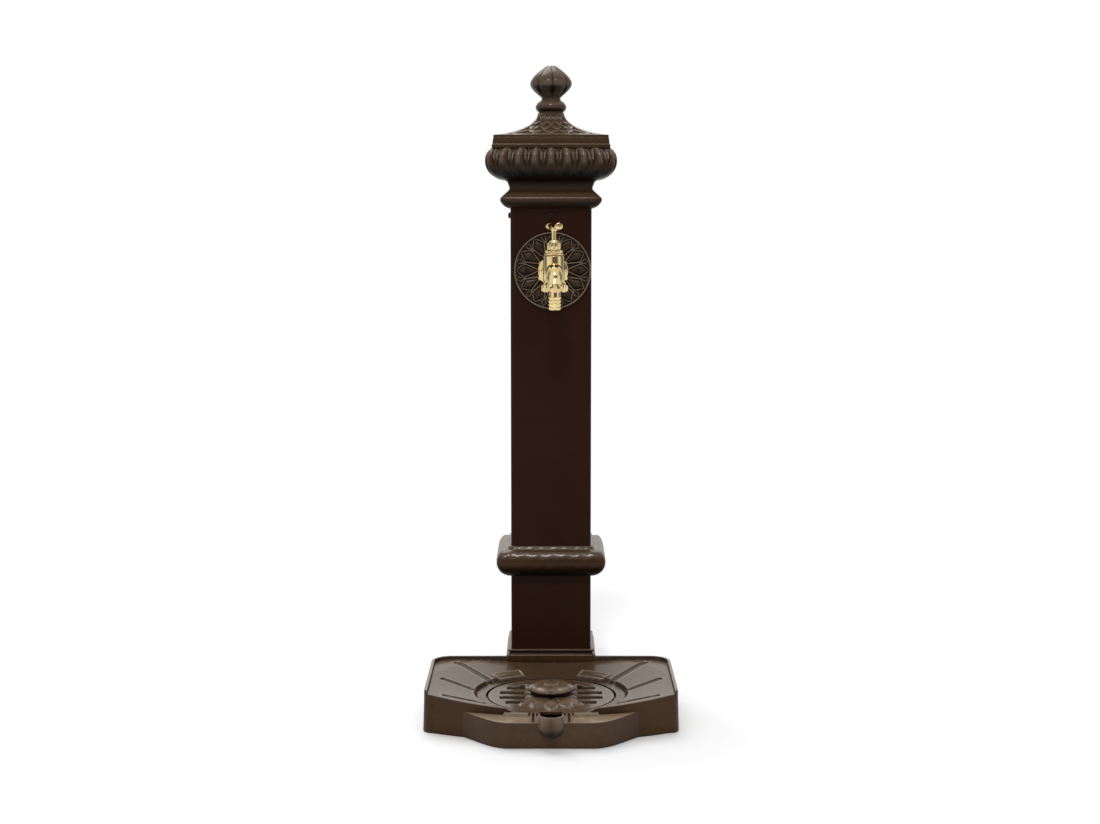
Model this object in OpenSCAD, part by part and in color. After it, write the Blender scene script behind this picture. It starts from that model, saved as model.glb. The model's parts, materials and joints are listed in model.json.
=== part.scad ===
// Garden standpipe: cast base with a drain grate, square column with mouldings,
// gadrooned capital and finial, and a brass screw-down tap with a hose union.
// Millimetres. X right, Y to the back, Z up. The origin is the middle of the
// footprint, on the ground. Turn one piece on with node, or all of them with "all".

/* [View] */
// Piece to show

/* [Column] */
// Width of the square tube
column_w = 120; // [110:1:126]
// Wall of the square tube
column_wall = 4; // [3:0.5:5]
// Outer corner radius of the tube
column_corner = 5; // [4.5:0.5:10]
// Length of the tube above the rear foot
column_h = 680; // [640:5:800]
// Thickness of the plate welded in the foot of the tube
foot_plate_t = 10; // [8:1:14]
// Distance of the foot bolts from the column axis, each way
foot_bolt_xy = 36; // [30:1:40]

/* [Base] */
// Width of the base casting
base_w = 361; // [350:1:390]
// Height of the rim at the sides and the back
rim_h = 60; // [58:1:66]
// Width of the rim lip
rim_lip = 5; // [4:0.5:7]
// Wall thickness of the casting
base_wall = 6; // [5:0.5:7]
// Height of the rear foot that carries the column
foot_h = 52; // [48:1:54]
// Height of the lower front ledge
ledge_h = 36; // [34:0.5:38]
// Distance from the column axis to the front corners
corner_reach = 264; // [256:1:270]
// Distance from the column axis to the middle of the upper front edge
bow_reach = 312; // [311:1:316]
// Distance from the column axis to the flat front of the apron
apron_reach = 346; // [344:1:350]
// Half width of the flat front of the apron
apron_flat = 58; // [50:1:64]
// Half width at which the apron leaves the straight front
apron_start = 155; // [150:1:158]
// Radius of the two back corners
back_r = 30; // [20:1:40]
// Radius of the two front corners
front_r = 13; // [8:1:16]
// Depth of the grooves in the dished top
groove_d = 2; // [1:0.5:4.5]
// Width of the grooves in the dished top
groove_w = 11; // [6:0.5:12]
// Height of the two steps beside the spout cup, above the ledge
step_h = 4; // [2:0.5:5]
// Depth of the two steps beside the spout cup
step_w = 7; // [4:0.5:9]

/* [Drain] */
// Distance from the column axis to the middle of the grate
grate_y = 216; // [214:0.5:217]
// Radius of the grate
grate_r = 90; // [86:0.5:90]
// Thickness of the grate
grate_t = 4; // [3:0.5:5]
// How far the grate lies below the dished top
grate_drop = 2; // [1:0.5:3]
// Gap round the grate
grate_gap = 1.5; // [1:0.1:2]
// Radius of the drain pot under the grate, inside
sump_r = 80; // [76:1:82]
// Thickness of the flange that hangs the drain pot in the base
pot_flange = 3; // [2.5:0.5:4]
// Height of the sump floor
sump_z = 12; // [10:1:16]
// Bore radius of the drain outlet
drain_r = 20; // [16:0.5:25]
// Width of the slots in the grate
slot_w = 13; // [8:0.5:14]
// Distance from one row of slots to the next
slot_pitch = 26; // [24:0.5:27]
// Radius of the knob on the grate
boss_r = 33.5; // [28:0.5:34]
// Outer radius of the front spout cup
spout_r = 17.5; // [16:0.5:18]
// Spacing of the ground studs across
stud_x = 300; // [290:1:310]
// Spacing of the ground studs from front to back
stud_y = 130; // [120:1:136]
// Tapping radius of the ground stud holes
stud_hole_r = 4.25; // [3.4:0.05:5.1]

/* [Mouldings] */
// Width of the plinth collar
plinth_w = 136; // [134:1:140]
// Height of the plinth collar
plinth_h = 18; // [16:1:22]
// Width across the crest of the middle collar
collar_w = 164.4; // [156:0.2:172]
// Height of the middle collar
collar_h = 46; // [40:1:54]
// Height of the lower edge of the middle collar
collar_z = 182; // [140:1:260]

/* [Capital] */
// Width across the lower roll
roll_w = 150.6; // [144:0.2:156]
// Width across the widest part of the bowl
bowl_w = 194; // [186:0.2:200]
// Width across the top slab
slab_w = 168.4; // [164:0.2:174]
// Lobes on each side, corner lobe included
lobes = 8; // [6:1:9]
// Depth of the lobes
lobe_d = 5; // [2:0.5:6]
// Height of the capital
capital_h = 104.3; // [98:0.1:112]
// Height of the roof
roof_h = 37.3; // [32:0.1:42]
// Radius of the finial bulb
bulb_r = 31.8; // [28:0.1:34]
// Height of the finial
finial_h = 70.4; // [64:0.1:78]

/* [Tap] */
// Distance of the tap inlet below the top of the tube
tap_drop = 91; // [82:1:160]
// Swing of the tap from straight ahead, in degrees
tap_swing = 2.2; // [0:0.1:2.5]
// Distance from the column face to the valve axis
valve_y = 45; // [44:0.5:50]
// Distance from the column face to the outlet axis
outlet_y = 78; // [78:0.5:84]
// Direction of the tee bar from straight ahead, in degrees
tee_turn = 18; // [0:1:45]
// Length of the tee bar between the middles of its knobs
tee_l = 44; // [36:1:60]
// Radius of the tee bar knobs
knob_r = 6.1; // [5.5:0.1:7]
// Radius of the rosette behind the tap
rosette_r = 57.5; // [52:0.5:58]
// Width across the flats of the union nut
nut_af = 33; // [32:0.5:36]
// Radius over the ridges of the hose tail
barb_r = 9.5; // [9.2:0.1:10.5]
// Lift of the valve when fully open
valve_lift = 7.5; // [5:0.1:8]

/* [Hidden] */
$fn = 64;

// Colours
cast_brown = [0.20, 0.14, 0.115];
tube_brown = [0.22, 0.15, 0.12];
brass = [0.80, 0.62, 0.26];
screw_dark = [0.10, 0.09, 0.09];
zinc = [0.62, 0.63, 0.65];
rubber_black = [0.05, 0.05, 0.05];
fibre_red = [0.45, 0.16, 0.10];

// Fits
slip = 0.3;
thread_fit = 0.1;

// Column
half = column_w / 2;
bore_half = half - column_wall;
column_top = foot_h + column_h;
foot_half = plinth_w / 2;
tap_z = column_top - tap_drop;
guide_low = foot_h + column_h * 0.18;
guide_high = foot_h + column_h * 0.62;
guide_w = column_w * 0.42;
guide_t = 3;
riser_z0 = 22;
screw_sides = [0, 2, 3];

// Base
tray_back = half + 2;
spout_y = apron_reach;
spout_z = ledge_h - 4;
spout_lip = spout_z + 15.5;
spout_wall = 2.5;
channel_half = spout_r - spout_wall;
channel_z = spout_z - 9;
step_x0 = 31;
step_x1 = 66;
spout_front = spout_y + spout_r;
axis_y = (spout_front - bowl_w / 2) / 2;
grate_top = ledge_h + grate_t;
grate_z = grate_top + grate_drop;
dish_r0 = grate_r + 16;
dish_r1 = dish_r0 + 4;
dish_r2 = base_w / 2;
dish_z1 = grate_z + 3.5;
dish_z2 = rim_h - 5;
dish_tilt = atan((dish_z2 - dish_z1) / (dish_r2 - dish_r1));
deck_t = 8;
seat_t = 5;
sump_wall = 5;
pot_seat_z = ledge_h - pot_flange;
foot_front = tray_back - 0.1;
foot_in = foot_half - base_wall;
tie_x = 12;
tie_z = 24;
foot_plate_z = foot_h - 8;
pipe_hole_r = 22;
stud_mid_y = -167;
stud_depth = 26;

// Threads and pipe, radii
shank_r = 10.45;
pipe_r = 10.65;
pipe_bore = 8;
supply_r = 9.32;
m8_r = 4;
m5_r = 2.5;
bolt_af = 13;
bolt_head = 5.3;
outlet_r = 13.2;

// Tap, heights from the inlet axis
barrel_r = 15.5;
barrel_top = 22.6;
chamber_r = 9.5;
seat_z = -5;
seat_r = 5.5;
spout_tube_r = 11.5;
spout_bore_r = 6.2;
spout_axis_z = 1.5;
outlet_end = -21;
shoulder_z = -17.2;
washer_t = 1.5;
flange_z = barrel_top + washer_t;
bonnet_hex_z = flange_z + 2.4;
neck_z = bonnet_hex_z + 4.9;
neck_top = neck_z + 8.6;
gland_z = neck_z + 1.6;
gland_top = neck_z + 14.6;
stem_r = 3.65;
screw_r = 5.9;
screw_top = neck_z - 7 - valve_lift;
tee_z = 66;
jumper_z = -2;
jumper_t = 3;
bonnet_bottom = jumper_z + jumper_t + valve_lift + 1.5;
nut_top = -17.5;
nut_floor_top = -25.3;
nut_bottom = -28.3;
tail_end = -54.3;
tail_core = 8.3;
rosette_t = 5;
rosette_x = half * tan(tap_swing);
rosette_screw_x = 38;
hex_back = 9;
hex_front = 20;
body_af = 43.5;
elbow_stop = 17;

// Capital
capital_top = column_top + capital_h;
roof_top = capital_top + roof_h;
stud_r = m8_r;
bridge_z = column_top + 30;
cap_screw_z = column_top - 10;
bulb_lobe = 2.2;
bulb_top = 7.8;
bulb_neck = 13.9;
roof_top_w = 19.8;
roof_wall = 4.8;
frame_t = 5;
bridge_w = 28;
bridge_t = 6;
frame_half = bore_half - slip;
frame_z0 = column_top - 30;
frame_z1 = column_top + 44;

// A row of points on an arc
function arc_pts(cx, cy, r, a0, a1, n) =
    [for (i = [0:n]) let (a = a0 + (a1 - a0) * i / n) [cx + r * cos(a), cy + r * sin(a)]];

// Outline of the upper tray, drawn in by d: straight sides, bowed front, round corners
function bow_radius(d) =
    let (hx = base_w / 2 - d, sag = bow_reach - corner_reach)
    (hx * hx + sag * sag) / (2 * sag);
function bow_y(x, d) =
    let (r = bow_radius(d)) -(bow_reach - d) + r - sqrt(r * r - x * x);
function tray_pts(d) =
    let (hx = base_w / 2 - d, yb = -tray_back - d, rb = back_r - d, rf = front_r - d)
    let (x1 = hx - rf, yc = bow_y(x1, d) + rf)
    concat(
        [for (i = [-12:12]) let (x = x1 * i / 12) [x, bow_y(x, d)]],
        arc_pts(x1, yc, rf, -60, 0, 4),
        arc_pts(hx - rb, yb - rb, rb, 0, 90, 6),
        arc_pts(-hx + rb, yb - rb, rb, 90, 180, 6),
        arc_pts(-x1, yc, rf, 180, 240, 4));

// Outline of the apron, drawn in by d: an S-curve on each side and a flat front
function apron_y(t, d) =
    -(corner_reach + 7 - d) - (apron_reach - corner_reach - 7) * (1 - cos(180 * t)) / 2;
function apron_pts(d) =
    let (x0 = apron_start - d, x1 = apron_flat - d / 2)
    concat(
        [[-x0, -corner_reach + 20]],
        [for (i = [0:14]) let (t = i / 14) [-x0 + (x0 - x1) * t, apron_y(t, d)]],
        [for (i = [0:14]) let (t = 1 - i / 14) [x0 - (x0 - x1) * t, apron_y(t, d)]],
        [[x0, -corner_reach + 20]]);

// Square bar with round corners
module round_square(h, r) {
    polygon(concat(
        arc_pts(h - r, h - r, r, 0, 90, 5),
        arc_pts(-h + r, h - r, r, 90, 180, 5),
        arc_pts(-h + r, -h + r, r, 180, 270, 5),
        arc_pts(h - r, -h + r, r, 270, 360, 5)));
}

// Square moulding: rows of [half width, height], the same on all four sides
module square_moulding(rows) {
    n = len(rows);
    big = 2 * max([for (p = rows) p[0]]) + 2;
    outline = concat(rows, [for (i = [0:n - 1]) [-rows[n - 1 - i][0], rows[n - 1 - i][1]]]);
    intersection() {
        rotate([90, 0, 0]) linear_extrude(big, center = true) polygon(outline);
        rotate([90, 0, 90]) linear_extrude(big, center = true) polygon(outline);
    }
}

// Point on a rounded square of half width w: s runs along side k, m sets how square it is
function plan_pt(w, m, k, s) =
    let (g = pow(pow(abs(s), m) + 1, 1 / m), x = w * s / g, y = -w / g, a = 90 * k)
    [x * cos(a) - y * sin(a), x * sin(a) + y * cos(a)];
function lobe_wave(s, count) = abs(cos(180 * s * count / 2)) - 1;

// Closed ring swept round the rounded square. Rows are [half width, height, m, lobe depth]
module square_ring(rows, per_side, count) {
    n = len(rows);
    c = 4 * per_side;
    pts = [for (k = [0:3]) for (i = [0:per_side - 1]) for (p = rows)
        let (s = 2 * i / per_side - 1, w = p[0] + p[3] * lobe_wave(s, count), q = plan_pt(w, p[2], k, s))
        [q[0], q[1], p[1]]];
    faces = [for (i = [0:c - 1]) for (j = [0:n - 1])
        let (i2 = (i + 1) % c, j2 = (j + 1) % n)
        each [[i * n + j, i * n + j2, i2 * n + j2], [i * n + j, i2 * n + j2, i2 * n + j]]];
    polyhedron(pts, faces);
}

// Closed lobed turning. Rows are [radius, height, lobe depth]
module lobed_turning(rows, around, count, turn) {
    n = len(rows);
    low = rows[0][1];
    high = rows[n - 1][1];
    pts = concat(
        [for (i = [0:around - 1]) for (p = rows)
            let (a = 360 * i / around, r = p[0] + p[2] * (abs(cos((a - turn) * count / 2)) - 1))
            [r * cos(a), r * sin(a), p[1]]],
        [[0, 0, low], [0, 0, high]]);
    base = around * n;
    faces = concat(
        [for (i = [0:around - 1]) for (j = [0:n - 2])
            let (i2 = (i + 1) % around)
            each [[i * n + j, i * n + j + 1, i2 * n + j + 1], [i * n + j, i2 * n + j + 1, i2 * n + j]]],
        [for (i = [0:around - 1]) [base, i * n, ((i + 1) % around) * n]],
        [for (i = [0:around - 1]) [base + 1, ((i + 1) % around) * n + n - 1, i * n + n - 1]]);
    polyhedron(pts, faces);
}

// Cylinder along Y, from y0 to y1
module ycyl(r, y0, y1) {
    translate([0, y1, 0]) rotate([90, 0, 0]) cylinder(r = r, h = y1 - y0);
}

// Cylinder along Z, from z0 to z1
module zcyl(r, z0, z1) {
    translate([0, 0, z0]) cylinder(r = r, h = z1 - z0);
}

// Ring along Z
module zring(r_out, r_in, z0, z1) {
    difference() {
        zcyl(r_out, z0, z1);
        zcyl(r_in, z0 - 1, z1 + 1);
    }
}

// Hexagon across flats af, from z0 to z1
module zhex(af, z0, z1) {
    translate([0, 0, z0]) cylinder(r = af / 2 / cos(30), h = z1 - z0, $fn = 6);
}

// Places: column axis, grate axis, tap inlet, valve axis and outlet axis
module at_column() {
    translate([0, axis_y, 0]) children();
}
module at_grate() {
    translate([0, axis_y - grate_y, 0]) children();
}
module at_tap() {
    at_column() rotate([0, 0, tap_swing]) translate([0, -half, tap_z]) children();
}
module at_valve() {
    at_tap() translate([0, -valve_y, 0]) children();
}
module at_outlet() {
    at_tap() translate([0, -outlet_y, 0]) children();
}

// Screw places near the top of the column: front, back and left
module screw_places() {
    for (k = screw_sides) rotate([0, 0, 90 * k]) children();
}

// Base

// Space above the dished top
module dish_space() {
    rotate_extrude($fn = 128) polygon([
        [0, grate_z], [dish_r0, grate_z], [dish_r1, dish_z1], [dish_r2, dish_z2],
        [400, dish_z2], [400, rim_h + 20], [0, rim_h + 20]]);
}

// Space under the dished top
module under_space() {
    rotate_extrude($fn = 128) polygon([
        [0, -1], [400, -1], [400, dish_z2 - deck_t], [dish_r2, dish_z2 - deck_t],
        [dish_r1, dish_z1 - deck_t], [dish_r0, pot_seat_z - seat_t], [0, pot_seat_z - seat_t]]);
}

// Hollow underside, with the stud bosses left standing
module base_hollow() {
    difference() {
        union() {
            intersection() {
                translate([0, 0, -1]) linear_extrude(rim_h) polygon(tray_pts(base_wall));
                translate([0, -grate_y, 0]) under_space();
            }
            translate([0, 0, -1]) linear_extrude(ledge_h - base_wall + 1) polygon(apron_pts(base_wall));
        }
        stud_places() zcyl(13, -2, rim_h);
        translate([-spout_r, -apron_reach, spout_z - spout_r + 1]) cube([2 * spout_r, 56, 40]);
    }
}
module stud_places() {
    for (x = [-1, 1]) for (y = [-1, 1])
        translate([x * stud_x / 2, stud_mid_y + y * stud_y / 2, 0]) children();
}

// Point on the dished top at radius r and angle a, sunk by the depth of a groove
function groove_end(r, a) =
    [r * cos(a), r * sin(a), dish_z1 + (r - dish_r1) * tan(dish_tilt) - groove_d];

// One groove in the dished top, from its inner end a to its outer end b
module dish_groove(a, b) {
    d = b - a;
    run = norm([d[0], d[1]]);
    translate(a) rotate([0, -atan2(d[2], run), atan2(d[1], d[0])])
        translate([0, -groove_w / 2, 0]) cube([run, groove_w, 20]);
}

module spout_outside() {
    translate([0, -spout_y, 0]) {
        zcyl(spout_r, spout_z, spout_lip);
        intersection() {
            translate([0, 0, spout_z]) sphere(r = spout_r);
            zcyl(spout_r + 1, spout_z - spout_r - 1, spout_z + 0.1);
        }
    }
    rail_w = 2.5;
    for (x = [-1, 1]) for (d = [21.75, 27.25])
        translate([x * d - rail_w / 2, -apron_reach + 1, ledge_h - 1])
            cube([rail_w, apron_reach - bow_reach, 5]);
}

// Low step on each side of the cup, along the front of the tray
module front_steps() {
    intersection() {
        linear_extrude(ledge_h + step_h) polygon(tray_pts(-step_w));
        for (s = [0, 1]) mirror([s, 0, 0]) translate([step_x0, -apron_reach, ledge_h - 1])
            cube([step_x1 - step_x0, apron_reach - corner_reach, step_h + 2]);
    }
}

module spout_inside() {
    translate([0, -spout_y, 0]) {
        zcyl(spout_r - spout_wall, spout_z, rim_h);
        translate([0, 0, spout_z]) sphere(r = spout_r - spout_wall);
    }
    translate([-channel_half, -spout_y, channel_z])
        cube([2 * channel_half, spout_y - grate_y - sump_r + 12, rim_h]);
}

module base_casting() {
    color(cast_brown) at_column() difference() {
        union() {
            difference() {
                linear_extrude(rim_h) polygon(tray_pts(0));
                intersection() {
                    translate([0, -grate_y, 0]) dish_space();
                    x = base_w / 2 - rim_lip;
                    depth = apron_reach + 5 - tray_back - rim_lip;
                    translate([-x, -apron_reach - 5, 0]) cube([2 * x, depth, rim_h + 10]);
                }
                for (s = [0, 1]) mirror([s, 0, 0]) translate([0, -grate_y, 0]) {
                    dish_groove(groove_end(dish_r1 - 4, 34), groove_end(dish_r2 + 17, 43));
                    dish_groove(groove_end(dish_r1, 4), groove_end(dish_r2 - 14, 16));
                    dish_groove(groove_end(dish_r1, -37), groove_end(dish_r2 - 22, -16));
                }
            }
            linear_extrude(ledge_h) polygon(apron_pts(0));
            for (a = [43, 112]) translate([0, -grate_y, grate_z - 2]) rotate([0, 0, a])
                rotate_extrude(angle = 25, $fn = 128) translate([grate_r + 9, 0]) square([23, 8]);
            front_steps();
            spout_outside();
        }
        base_hollow();
        translate([0, -grate_y, 0]) zcyl(grate_r + grate_gap, pot_seat_z, rim_h);
        translate([0, -grate_y, 0]) zcyl(sump_r + sump_wall + slip, -1, rim_h);
        spout_inside();
        stud_places() zcyl(stud_hole_r, -1, stud_depth);
        tie_places() ycyl(m8_r + 0.5, -tray_back - base_wall - 1, -tray_back + 1);
        notch = foot_half + slip;
        translate([-notch, -notch, foot_h]) cube([2 * notch, 2 * notch, rim_h]);
    }
}

// Pot with the drain outlet, hung in the base by its flange
module drain_pot() {
    color(cast_brown) at_grate() difference() {
        union() {
            zcyl(grate_r + grate_gap - slip, pot_seat_z, ledge_h);
            zcyl(sump_r + sump_wall, sump_z - base_wall, ledge_h);
            zcyl(drain_r + 5, 0, sump_z);
        }
        zcyl(sump_r, sump_z, ledge_h + 1);
        zcyl(drain_r, -1, ledge_h);
        translate([0, grate_y, 0]) spout_inside();
    }
}

// Foot behind the tray that carries the column
module column_foot() {
    color(cast_brown) at_column() difference() {
        translate([-foot_half, -foot_front, 0]) cube([2 * foot_half, foot_front + foot_half, foot_h]);
        translate([-foot_in, -foot_front + base_wall, -1])
            cube([2 * foot_in, foot_front + foot_in - base_wall, foot_plate_z + 1]);
        zcyl(pipe_hole_r, -1, foot_h + 1);
        foot_bolt_places() zcyl(m8_r + 0.5, 0, foot_h + 1);
        tie_places() ycyl(m8_r + 0.5, -foot_front - 1, -foot_front + base_wall + 1);
    }
}

// Two bolts that tie the foot to the back wall of the tray
module tie_places() {
    for (x = [-1, 1]) translate([x * tie_x, 0, tie_z]) children();
}

module tie_bolts() {
    head_y = -foot_front + base_wall;
    color(zinc) at_column() tie_places() {
        translate([0, head_y, 0]) rotate([-90, 0, 0]) zhex(bolt_af, 0, bolt_head);
        ycyl(m8_r - thread_fit, -tray_back - base_wall - 9, head_y + 1);
    }
}

module tie_nuts() {
    nut_y = -tray_back - base_wall;
    color(zinc) at_column() tie_places() difference() {
        translate([0, nut_y, 0]) rotate([90, 0, 0]) zhex(bolt_af, 0, 6.5);
        ycyl(m8_r, nut_y - 8, nut_y + 1);
    }
}

module foot_bolt_places() {
    for (x = [-1, 1]) for (y = [-1, 1]) translate([x * foot_bolt_xy, y * foot_bolt_xy, 0]) children();
}

// Column

module plinth_collar() {
    h = plinth_h;
    w = foot_half;
    color(cast_brown) at_column() difference() {
        translate([0, 0, foot_h]) square_moulding([
            [w, 0], [w, h - 8], [w - 5, h - 6], [w - 5, h - 3], [w - 2, h - 3], [w - 2, h]]);
        translate([0, 0, foot_h - 1]) linear_extrude(h + 2) round_square(half + slip, column_corner);
    }
}

module column_tube() {
    color(tube_brown) at_column() difference() {
        translate([0, 0, foot_h]) linear_extrude(column_h) round_square(half, column_corner);
        translate([0, 0, foot_h - 1]) linear_extrude(column_h + 2)
            round_square(bore_half, column_corner - column_wall);
        translate([rosette_x, 0, tap_z]) ycyl(shank_r + 1.5, -half - 1, -half + column_wall + 1);
        for (s = [-1, 1]) translate([rosette_x + s * rosette_screw_x, 0, tap_z])
            ycyl(m5_r + 0.2, -half - 1, -half + column_wall + 1);
        screw_places() translate([0, 0, cap_screw_z]) ycyl(m5_r + 0.3, -half - 1, -half + column_wall + 1);
    }
}

module foot_plate() {
    w = bore_half - slip / 2;
    color(zinc) at_column() difference() {
        translate([0, 0, foot_h]) linear_extrude(foot_plate_t) round_square(w, 2);
        zcyl(pipe_hole_r, foot_h - 1, foot_h + foot_plate_t + 1);
        foot_bolt_places() zcyl(m8_r, foot_h - 1, foot_h + foot_plate_t + 1);
    }
}

module base_bolts() {
    color(zinc) at_column() foot_bolt_places() {
        zhex(bolt_af, foot_plate_z - bolt_head, foot_plate_z);
        zcyl(m8_r - thread_fit, foot_plate_z - 1, foot_h + foot_plate_t);
    }
}

module mid_collar() {
    w = collar_w / 2;
    r = collar_h / 2;
    color(cast_brown) at_column() difference() {
        translate([0, 0, collar_z]) square_moulding(concat(
            [[w - r + 3, 0]],
            [for (a = [-72:12:36]) [w - r + r * cos(a), r + r * sin(a)]],
            [[half + 6, collar_h - 7.5], [half + 5, collar_h]]));
        translate([0, 0, collar_z - 1]) linear_extrude(collar_h + 2)
            round_square(half + slip, column_corner);
        translate([0, 0, collar_z + r]) ycyl(3.1, half - 1, w + 1);
    }
}

module collar_grub_screw() {
    color(screw_dark) at_column() translate([0, 0, collar_z + collar_h / 2]) difference() {
        ycyl(3, half + 0.05, collar_w / 2 - 2);
        translate([0, collar_w / 2 - 5, 0]) rotate([-90, 0, 0]) cylinder(r = 1.6, h = 6, $fn = 6);
    }
}

// Capital

module capital() {
    z0 = column_top;
    h = capital_h;
    k = h / 104.3;
    rw = roll_w / 2;
    bw = bowl_w / 2;
    sw = slab_w / 2;
    color(cast_brown) at_column() square_ring(concat(
        [[bore_half, z0, 40, 0], [half + 0.5, z0, 40, 0]],
        [for (a = [-70:35:0]) [rw - 13 + 13 * cos(a), z0 + (14.5 + 13 * sin(a)) * k, 24, 0]],
        [[rw - 1.6, z0 + 17.4 * k, 24, 0], [half + 2.5, z0 + 27 * k, 24, 0]],
        [[half + 1.2, z0 + 30 * k, 24, 0], [half + 4.2, z0 + 38.5 * k, 20, 0]],
        [for (a = [0:18:126]) let (t = a / 90, over = max(0, a - 90) / 36)
            [half + 10 + (bw - half - 10) * sin(min(a, 90)) * (1 - 0.12 * over * over),
            z0 + (43 + 26 * (1 - cos(min(a, 90)) + 0.68 * over)) * k,
            12, lobe_d * min(1, 0.25 + t)]],
        [[sw + 2.6, z0 + 88.5 * k, 40, 0], [sw + 2.2, z0 + 94 * k, 40, 0], [sw + 0.6, z0 + 94 * k, 40, 0],
            [sw, z0 + h, 40, 0], [sw - 14, z0 + h, 40, 0], [sw - 14, z0 + 92 * k, 40, 0],
            [bw - 26, z0 + 70 * k, 40, 0], [bore_half, z0 + 48 * k, 40, 0]]), 4 * lobes, lobes);
}

module cap_roof() {
    z0 = capital_top;
    rw = slab_w / 2;
    tw = roof_top_w;
    hub = 8;
    e = 3;
    color(cast_brown) at_column() square_ring(concat(
        [[rw - 16, z0, 40, 0], [rw, z0, 40, 0]],
        [for (a = [0:15:90])
            [rw - (rw - tw) * pow(sin(a), 1.4), z0 + e + (roof_h - e) * (1 - cos(a)), 40 - 38 * a / 90, 0]],
        [[stud_r + slip, roof_top, 2, 0], [stud_r + slip, roof_top - hub, 2, 0],
            [tw - roof_wall, roof_top - hub, 2, 0], [tw, roof_top - 2 * hub, 4, 0],
            [tw + 11, roof_top - 3 * hub - 1, 8, 0]]), 12, 1);
}

// Steel frame that joins the capital to the tube, with a bridge for the finial stud
module cap_frame() {
    w = frame_half;
    t = frame_t;
    color(zinc) at_column() difference() {
        union() {
            difference() {
                translate([0, 0, frame_z0]) linear_extrude(frame_z1 - frame_z0) round_square(w, 3);
                in = w - t;
                translate([-in, -in, frame_z0 - 1]) cube([2 * in, 2 * in, frame_z1 - frame_z0 + 2]);
            }
            translate([-w + 1, -bridge_w / 2, bridge_z]) cube([2 * w - 2, bridge_w, bridge_t]);
        }
        zcyl(stud_r + slip, bridge_z - 1, bridge_z + bridge_t + 2);
        screw_places() translate([0, 0, cap_screw_z]) ycyl(m5_r, -w - 1, -w + t + 1);
    }
}

module cap_screws() {
    color(screw_dark) at_column() screw_places() translate([0, -half, cap_screw_z]) difference() {
        union() {
            ycyl(m5_r - thread_fit, -1, column_wall + slip + 5);
            ycyl(4.8, -2.6, -0.05);
            ycyl(3.6, -4.4, -2.5);
        }
        translate([0, -1.8, 0]) rotate([90, 0, 0]) cylinder(r = 1.9, h = 5, $fn = 6);
    }
}

module finial() {
    h = finial_h;
    k = h / 70.4;
    z0 = roof_top;
    color(cast_brown) at_column() difference() {
        lobed_turning(concat(
            [[19, z0, 0]],
            [for (a = [-60:30:60]) [11.7 + 11.5 * cos(a), z0 + (9.8 + 9 * sin(a)) * k, 0]],
            [[bulb_neck, z0 + 21 * k, 0], [bulb_neck, z0 + 23 * k, 0]],
            [for (t = [0.2:0.2:1]) let (a = 90 * (1 - t))
                [bulb_neck + (bulb_r - bulb_neck) * cos(a), z0 + (23 + 21.7 * t) * k, bulb_lobe * t]],
            [for (t = [0.2:0.2:1]) let (r = bulb_r - (bulb_r - bulb_top) * pow(t, 1.5))
                [r, z0 + (44.7 + 25.7 * t) * k, bulb_lobe * (1 - t)]]),
            48, 8, 28);
        zcyl(stud_r, z0 - 1, z0 + 24);
    }
}

module finial_stud() {
    color(zinc) at_column() zcyl(stud_r - thread_fit, bridge_z - 16, roof_top + 22);
}

module finial_nut() {
    color(zinc) at_column() difference() {
        union() {
            zhex(bolt_af, bridge_z - 8.3, bridge_z - 1.8);
            zcyl(9, bridge_z - 1.8, bridge_z);
        }
        zcyl(stud_r, bridge_z - 10, bridge_z + 1);
    }
}

// Rosette, drawn flat with Z out of the wall
module petal_shape(r0, r1, w) {
    polygon([[r0, 0], [r0 + (r1 - r0) * 0.35, -w * 0.7], [r0 + (r1 - r0) * 0.7, -w], [r1, 0],
        [r0 + (r1 - r0) * 0.7, w], [r0 + (r1 - r0) * 0.35, w * 0.7]]);
}

module rosette() {
    color(cast_brown) at_column() translate([rosette_x, -half, tap_z]) rotate([90, 0, 0]) difference() {
        union() {
            cylinder(r = rosette_r, h = rosette_t - 2);
            rotate_extrude($fn = 96) translate([rosette_r - 2.5, 0]) square([2.5, rosette_t]);
            cylinder(r = 21, h = rosette_t);
            for (i = [0:11]) rotate([0, 0, 30 * i]) difference() {
                linear_extrude(rosette_t + 0.5) petal_shape(20, rosette_r - 6, 8);
                translate([0, 0, rosette_t - 1.5]) linear_extrude(5) petal_shape(25, rosette_r - 9, 5);
            }
        }
        translate([0, 0, -1]) cylinder(r = shank_r + 1.5, h = 20);
        for (s = [-1, 1]) translate([s * rosette_screw_x, 0, -1]) cylinder(r = m5_r + slip, h = 20);
    }
}

module rosette_screws() {
    color(screw_dark) at_column() for (s = [-1, 1])
        translate([rosette_x + s * rosette_screw_x, -half, tap_z]) difference() {
            union() {
                ycyl(m5_r, -4, column_wall + 4);
                ycyl(3.4, -rosette_t - 2.3, -rosette_t + 1.45);
            }
            translate([-0.6, -rosette_t - 3, -4]) cube([1.2, 1.8, 8]);
        }
}

// Tap

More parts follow.
